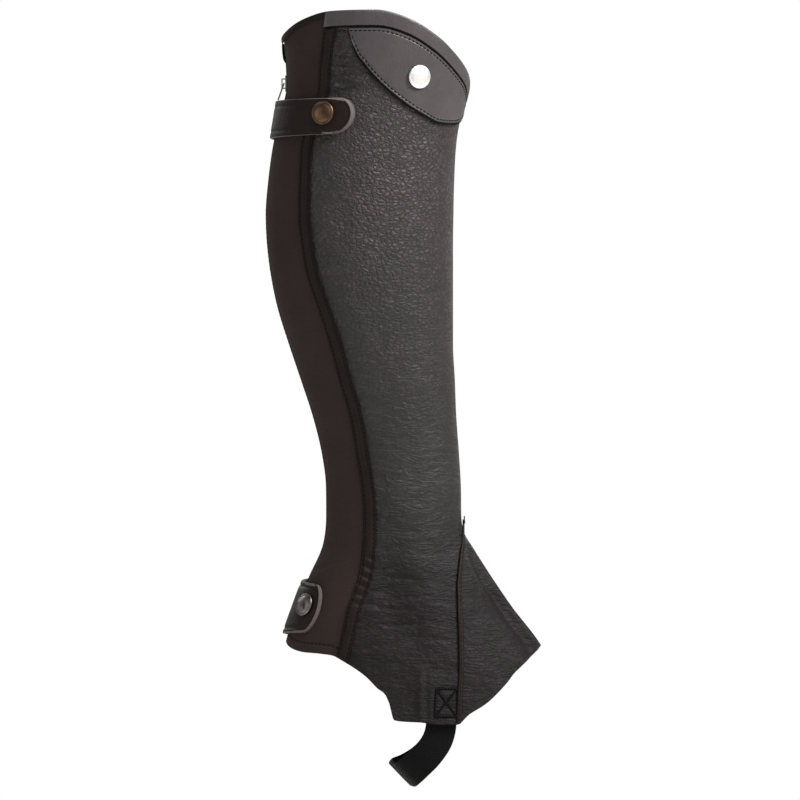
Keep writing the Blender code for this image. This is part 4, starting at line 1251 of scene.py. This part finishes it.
def make_tabs():
    for name, tab, border, node, columns, rows in (
        ("top_closing_tab", TOP_TAB, TOP_BORDER, "top_tab", 150, 36),
        ("heel_closing_tab", HEEL_TAB, HEEL_BORDER, "heel_tab", 110, 40),
    ):
        # Columns and rows lie closest at the rounded tip and the long edges
        along = 1 - np.sin(np.linspace(0, math.pi / 2, columns + 1))[None, :]
        across = np.sin(np.linspace(-math.pi / 2, math.pi / 2, rows + 1))[:, None]
        angle, height, lift = tab_place(tab)(along, across)
        length = (tab.sewn - tab.tip) * ARC_PER_DEGREE
        inside = np.minimum((1 - np.abs(across)) * tab.tip_half, along * length)
        at_tip = eased(1 - along * length / tab.tip_half)
        bevel = border.side + (border.bevel - border.side) * at_tip
        bevelled = border.drop * (1 - eased(inside / bevel))
        pressed = dip(inside - border.line, PRESSED_HALF, border.depth)
        points = skin(angle, height, lift + TAB - bevelled - pressed)
        beyond = inside / bevel
        centre = (beyond[1:, 1:] + beyond[:-1, :-1]) / 2
        slots = np.where(centre < 1, 2, 0)
        piece = make_sheet(name, points, SANDED_TAB, node, TAB, 0.3, slots)
        declare_sheet(points)
    for name, tab, cap, material, node in (
        ("top_snap_cap", TOP_TAB, TOP_SNAP, finish("brass"), "top_tab_snap"),
        ("heel_snap_cap", HEEL_TAB, HEEL_SNAP, finish("gunmetal"), "heel_tab_snap"),
    ):
        _, _, lift = tab_place(tab)((cap.angle - tab.tip) / (tab.sewn - tab.tip), 0.0)
        cap_piece(name, cap, float(lift) + TAB, material, node)


def make_foot_strap():
    line_points = np.array([(row.x, row.y, row.z) for row in STRAP_LINE])
    travelled = np.concatenate(([0], np.cumsum(np.linalg.norm(np.diff(line_points, axis=0), axis=1))))
    line = {
        name: Curve(list(zip(travelled, (getattr(row, name) for row in STRAP_LINE))))
        for name in StrapPoint._fields
    }
    distance = np.linspace(0, travelled[-1], 221)

    def middle(at):
        return np.stack([line[name](np.clip(at, 0, travelled[-1])) for name in "xyz"], axis=-1)

    tilt, toe = np.radians(line["tilt"](distance)), np.radians(line["toe"](distance))
    wide = np.stack((np.cos(tilt) * np.cos(toe), -np.sin(toe), -np.sin(tilt)), axis=-1)
    ahead = middle(distance + 1) - middle(distance - 1)
    out = np.cross(wide, ahead)
    out /= np.linalg.norm(out, axis=-1, keepdims=True)
    across = np.linspace(-1, 1, 13) * STRAP_WIDTH / 2
    # Selvedges stand a little proud of the woven face
    face = WEBBING / 2 - 0.12 * np.cos(across / across[-1] * math.pi * 0.5)
    points = middle(distance)[:, None] + wide[:, None] * across[None, :, None]
    points = points + out[:, None] * face[None, :, None]
    piece = make_sheet("foot_elastic", points, ["elastic"] * 3, "foot_strap", WEBBING, 0.3)
    declare_sheet(points)


def make_stitching():
    """All the sewing that shows, row by row."""
    # Two rows on the strip over the outer seam
    rows = []
    for offset in (-STRIP_ROW, STRIP_ROW):
        angle, height = line_up(lambda h, o=offset: seam_angle(h, o), ROW_START, ROW_STOP, 420)
        rows.append(stitch_row(angle, height, GAP + TRIM + THREAD_LIFT["strip"]))
    sew("seam_strip_stitches", rows)
    # One row below the band, over the leather and the patch
    first = float(seam_angle(TOP_AT_SEAM - BAND_DEPTH, -STRIP_HALF - 0.5))
    last = float(inner_edge(100.0)) + 1.5
    angle = np.linspace(first, last, 500)
    height = height_at(angle, np.full_like(angle, BAND_ROW_SHARE))
    on_patch = (angle < PATCH_EDGE[-1].angle) & (angle > PATCH_EDGE[0].angle)
    lift = np.where(on_patch, LAID + TRIM + THREAD_LIFT["patch"], THREAD_LIFT["band"])
    sew("band_stitches", [stitch_row(angle, height, lift)])
    # The patch: one row inside its lower edge
    angle = np.linspace(PATCH_EDGE[-1].angle - 1.2, PATCH_EDGE[0].angle + 1.5, 300)
    height = PATCH(angle) + above_patch_edge(angle, PATCH_ROW)
    keep = height < TOP(angle) - BAND_DEPTH - 4
    sew("patch_stitches", [stitch_row(angle[keep], height[keep], LAID + TRIM + THREAD_LIFT["patch"])])
    # Beside the zip
    rows = []
    for side in (1, -1):
        beside = side * (ZIP_OPENING + ZIP_ROW)
        angle, height = line_up(lambda h, d=beside: zip_angle(h, d), ROW_START, ZIP_ROW_STOP, 420)
        rows.append(stitch_row(angle, height, THREAD_LIFT["zip"]))
    sew("zip_stitches", rows)
    # Down the middle of the vamp's piped seams
    rows = []
    share = np.linspace(0.004, VAMP_SHARE * 0.97, 200)
    for side in (1, -1):
        angle, height = meet(lambda h, s=side: s * vamp_angle(h), share)
        rows.append(stitch_row(angle, height, LAID + TRIM + THREAD_LIFT["vamp"]))
    sew("vamp_stitches", rows)
    # The stretch panel's turned hem
    angle = np.linspace(float(stretch_edge(-280.0)) - 3, float(seam_angle(-285.0, STRIP_HALF)) + 1, 120)
    sew("stretch_hem_stitches", [stitch_row(angle, HEM(angle) + STRETCH_HEM, THREAD_LIFT["hem"])])
    # A boxed cross holds each end of the elastic
    rows = []
    share = np.linspace(0, 1, 24)
    for side in (1, -1):
        for (x_start, z_start), (x_stop, z_stop) in box_lines():
            height = z_start + (z_stop - z_start) * share
            angle = side * angle_of(x_start + (x_stop - x_start) * share, height)
            rows.append(stitch_row(angle, height, over_elastic(angle, height) + CROSS_LIFT, CROSS_PITCH))
    sew("elastic_cross_stitches", rows, CROSS_WIDTH)


# The stage in metres and watts: the floor, the lights with their places and sizes, and the camera
FLOOR_HEIGHT = -0.43
FLOOR_HALF = 6
LIT_POINT = (0.02, 0, -0.12)
LIGHTS = (
    ("key", (1.2, -0.55, 1.1), 0.55, 47),
    ("front", (0.45, -0.85, 0.85), 0.4, 6.5),
    ("top", (0.2, -0.4, 1.8), 0.8, 12),
    ("left", (-1.7, -0.5, 0.1), 0.9, 5),
    ("back", (-1.1, 1.8, 0.9), 1.0, 18),
    ("inner", (0.9, 2.1, 0.7), 1.0, 14),
)
WALL_LIGHT = 0.26
CAMERA_PLACE = (0.02814, -3, -0.12395)
CAMERA_WIDTH = 0.536


def make_stage():
    """The pale floor, the soft lights and the camera at the photograph's angle."""
    scene = bpy.context.scene
    bm = bmesh.new()
    bmesh.ops.create_grid(bm, x_segments=1, y_segments=1, size=FLOOR_HALF)
    bmesh.ops.translate(bm, verts=bm.verts[:], vec=(0, 0, FLOOR_HEIGHT))
    mesh = bpy.data.meshes.new("floor")
    bm.to_mesh(mesh)
    bm.free()
    floor = bpy.data.objects.new("floor", mesh)
    scene.collection.objects.link(floor)
    paper, _, _ = new_material("pale_paper", colour("#e9e7e4"), 0.9)
    mesh.materials.append(paper)
    target = Vector(LIT_POINT)
    for name, place, size, power in LIGHTS:
        lamp = bpy.data.lights.new(name, "AREA")
        lamp.size = size
        lamp.energy = power
        holder = bpy.data.objects.new(name, lamp)
        holder.location = place
        holder.rotation_euler = (Vector(place) - target).to_track_quat("Z", "Y").to_euler()
        scene.collection.objects.link(holder)
    # The studio's walls are white where the camera sees them and give a dimmer, even light
    world = bpy.data.worlds.new("studio")
    world.use_nodes = True
    tree = world.node_tree
    walls = tree.nodes["Background"]
    walls.inputs["Color"].default_value = (1, 1, 1, 1)
    seen = add(tree, "LightPath").outputs["Is Camera Ray"]
    strength = add(tree, "MapRange", {"To Min": WALL_LIGHT, "To Max": 1.0}, {"Value": seen})
    wire(tree, walls, {"Strength": strength})
    scene.world = world
    scene.view_settings.view_transform = "Standard"
    lens = bpy.data.cameras.new("camera")
    lens.type = "ORTHO"
    lens.ortho_scale = CAMERA_WIDTH
    camera = bpy.data.objects.new("camera", lens)
    camera.location = CAMERA_PLACE
    camera.rotation_euler = (math.pi / 2, 0, 0)
    scene.collection.objects.link(camera)
    scene.camera = camera


# Settings, operators and panel


def colour_property(name, description, code):
    return bpy.props.FloatVectorProperty(
        name=name, description=description, subtype="COLOR", size=4, min=0, max=1, default=colour(code)
    )


class HalfChapFinish(bpy.types.PropertyGroup):
    """Colours and grain."""

    grain_light: colour_property("Grain leather", "Crowns of the pebbled leather", "#3a2b30")
    # The dark grain colour is also painted shade in the pebbled leather's valleys and creases, and towards
    # the ankle
    grain_dark: colour_property("Grain valleys", "Valleys of the pebbled leather", "#0d0809")
    smooth_light: colour_property("Smooth leather", "Band and patch", "#464042")
    smooth_dark: colour_property("Smooth leather shade", "Cloudy dye of the band and patch", "#343031")
    tab_light: colour_property("Tab leather", "Closing tabs and seam strips", "#241a17")
    tab_dark: colour_property("Tab leather shade", "Cloudy dye of the closing tabs", "#130f0e")
    stretch_light: colour_property("Stretch fabric", "Ribs of the back panel", "#3e3330")
    stretch_dark: colour_property("Stretch fabric shade", "Between the ribs", "#2a2220")
    elastic_light: colour_property("Elastic", "Ribs of the foot elastic", "#131313")
    elastic_dark: colour_property("Elastic shade", "Between its ribs", "#090909")
    tape_light: colour_property("Zip tape", "Tape and binding", "#24211e")
    tape_dark: colour_property("Zip tape shade", "Between the tape's threads", "#12100f")
    # Near black: partly the thread's own colour, partly painted shade of the stitches' grooves
    thread: colour_property("Thread", "All the sewing", "#0d0b0b")
    edge_light: colour_property("Cut edge", "The tabs' sanded edge", "#5f5753")
    edge_dark: colour_property("Cut edge shade", "Darker fibres in it", "#463f3c")
    lining_light: colour_property("Lining", "The leather's flesh side", "#3a3432")
    lining_dark: colour_property("Lining shade", "Its darker nap", "#1f1b1a")
    grain_size: bpy.props.FloatProperty(
        name="Grain", description="Width of a grain cell", default=0.0038, min=0.001, unit="LENGTH"
    )


class HalfChapSizes(bpy.types.PropertyGroup):
    """Sizes of the sewing."""

    stitch_length: bpy.props.FloatProperty(
        name="Stitch", description="Length of a stitch", default=0.0024, min=0.001, unit="LENGTH"
    )
    stitch_pitch: bpy.props.FloatProperty(
        name="Stitch pitch", description="From stitch to stitch", default=0.0031, min=0.001, unit="LENGTH"
    )
    thread_width: bpy.props.FloatProperty(
        name="Thread", description="Width of the thread", default=0.00075, min=0.0002, unit="LENGTH"
    )


class HALFCHAP_OT_leather_panel(bpy.types.Operator):
    """Make the pebbled leather panel round the shin and the inner side"""

    bl_idname = "half_chap.leather_panel"
    bl_label = "Leather panel"

    def execute(self, _context):
        make_leather_panel()
        return {"FINISHED"}


class HALFCHAP_OT_stretch_panel(bpy.types.Operator):
    """Make the stretch panel at the outer back"""

    bl_idname = "half_chap.stretch_panel"
    bl_label = "Stretch panel"

    def execute(self, _context):
        make_stretch_panel()
        return {"FINISHED"}


class HALFCHAP_OT_seam_strip(bpy.types.Operator):
    """Make the strip over the outer seam"""

    bl_idname = "half_chap.seam_strip"
    bl_label = "Seam strip"

    def execute(self, _context):
        make_seam_strip()
        return {"FINISHED"}


class HALFCHAP_OT_top_edge(bpy.types.Operator):
    """Make the leather band and the binding at the top edge"""

    bl_idname = "half_chap.top_edge"
    bl_label = "Top band and binding"

    def execute(self, _context):
        make_top_band()
        make_top_binding()
        return {"FINISHED"}


class HALFCHAP_OT_zip(bpy.types.Operator):
    """Make the zip's tapes and coil and finish its slider"""

    bl_idname = "half_chap.zip"
    bl_label = "Zip"

    def execute(self, _context):
        make_zip()
        return {"FINISHED"}


class HALFCHAP_OT_vamp(bpy.types.Operator):
    """Make the pointed vamp, its piped seams and their bar tack"""

    bl_idname = "half_chap.vamp"
    bl_label = "Vamp"

    def execute(self, _context):
        make_vamp()
        return {"FINISHED"}


class HALFCHAP_OT_front_patch(bpy.types.Operator):
    """Make the smooth patch and its stud"""

    bl_idname = "half_chap.front_patch"
    bl_label = "Front patch"

    def execute(self, _context):
        make_front_patch()
        return {"FINISHED"}


class HALFCHAP_OT_tabs(bpy.types.Operator):
    """Make the two closing tabs and their snap caps"""

    bl_idname = "half_chap.tabs"
    bl_label = "Closing tabs"

    def execute(self, _context):
        make_tabs()
        return {"FINISHED"}


class HALFCHAP_OT_foot_strap(bpy.types.Operator):
    """Make the elastic under the foot"""

    bl_idname = "half_chap.foot_strap"
    bl_label = "Foot elastic"

    def execute(self, _context):
        make_foot_strap()
        return {"FINISHED"}


class HALFCHAP_OT_stitching(bpy.types.Operator):
    """Make the sewing"""

    bl_idname = "half_chap.stitching"
    bl_label = "Stitching"

    def execute(self, _context):
        make_stitching()
        return {"FINISHED"}


class HALFCHAP_OT_stage(bpy.types.Operator):
    """Make the floor, lights and camera"""

    bl_idname = "half_chap.stage"
    bl_label = "Stage"

    def execute(self, _context):
        make_stage()
        return {"FINISHED"}


OPERATORS = (
    HALFCHAP_OT_leather_panel,
    HALFCHAP_OT_stretch_panel,
    HALFCHAP_OT_seam_strip,
    HALFCHAP_OT_top_edge,
    HALFCHAP_OT_zip,
    HALFCHAP_OT_vamp,
    HALFCHAP_OT_front_patch,
    HALFCHAP_OT_tabs,
    HALFCHAP_OT_foot_strap,
    HALFCHAP_OT_stitching,
    HALFCHAP_OT_stage,
)


class HALFCHAP_PT_panel(bpy.types.Panel):
    """The half chap's pieces, colours and sizes"""

    bl_label = "Half Chap"
    bl_idname = "HALFCHAP_PT_panel"
    bl_space_type = "VIEW_3D"
    bl_region_type = "UI"
    bl_category = "Half Chap"

    def draw(self, context):
        for operator in OPERATORS:
            self.layout.operator(operator.bl_idname)
        for group in (context.scene.half_chap_sizes, context.scene.half_chap_finish):
            for name in group.__annotations__:
                self.layout.prop(group, name)


CLASSES = (HalfChapFinish, HalfChapSizes, *OPERATORS, HALFCHAP_PT_panel)


def register():
    for item in CLASSES:
        bpy.utils.register_class(item)
    bpy.types.Scene.half_chap_finish = bpy.props.PointerProperty(type=HalfChapFinish)
    bpy.types.Scene.half_chap_sizes = bpy.props.PointerProperty(type=HalfChapSizes)


def unregister():
    del bpy.types.Scene.half_chap_sizes
    del bpy.types.Scene.half_chap_finish
    for item in reversed(CLASSES):
        bpy.utils.unregister_class(item)


def main():
    register()
    half_chap = bpy.ops.half_chap
    half_chap.leather_panel()
    half_chap.stretch_panel()
    half_chap.seam_strip()
    half_chap.top_edge()
    half_chap.zip()
    half_chap.vamp()
    half_chap.front_patch()
    half_chap.tabs()
    half_chap.foot_strap()
    half_chap.stitching()
    half_chap.stage()


if __name__ == "__main__":
    main()
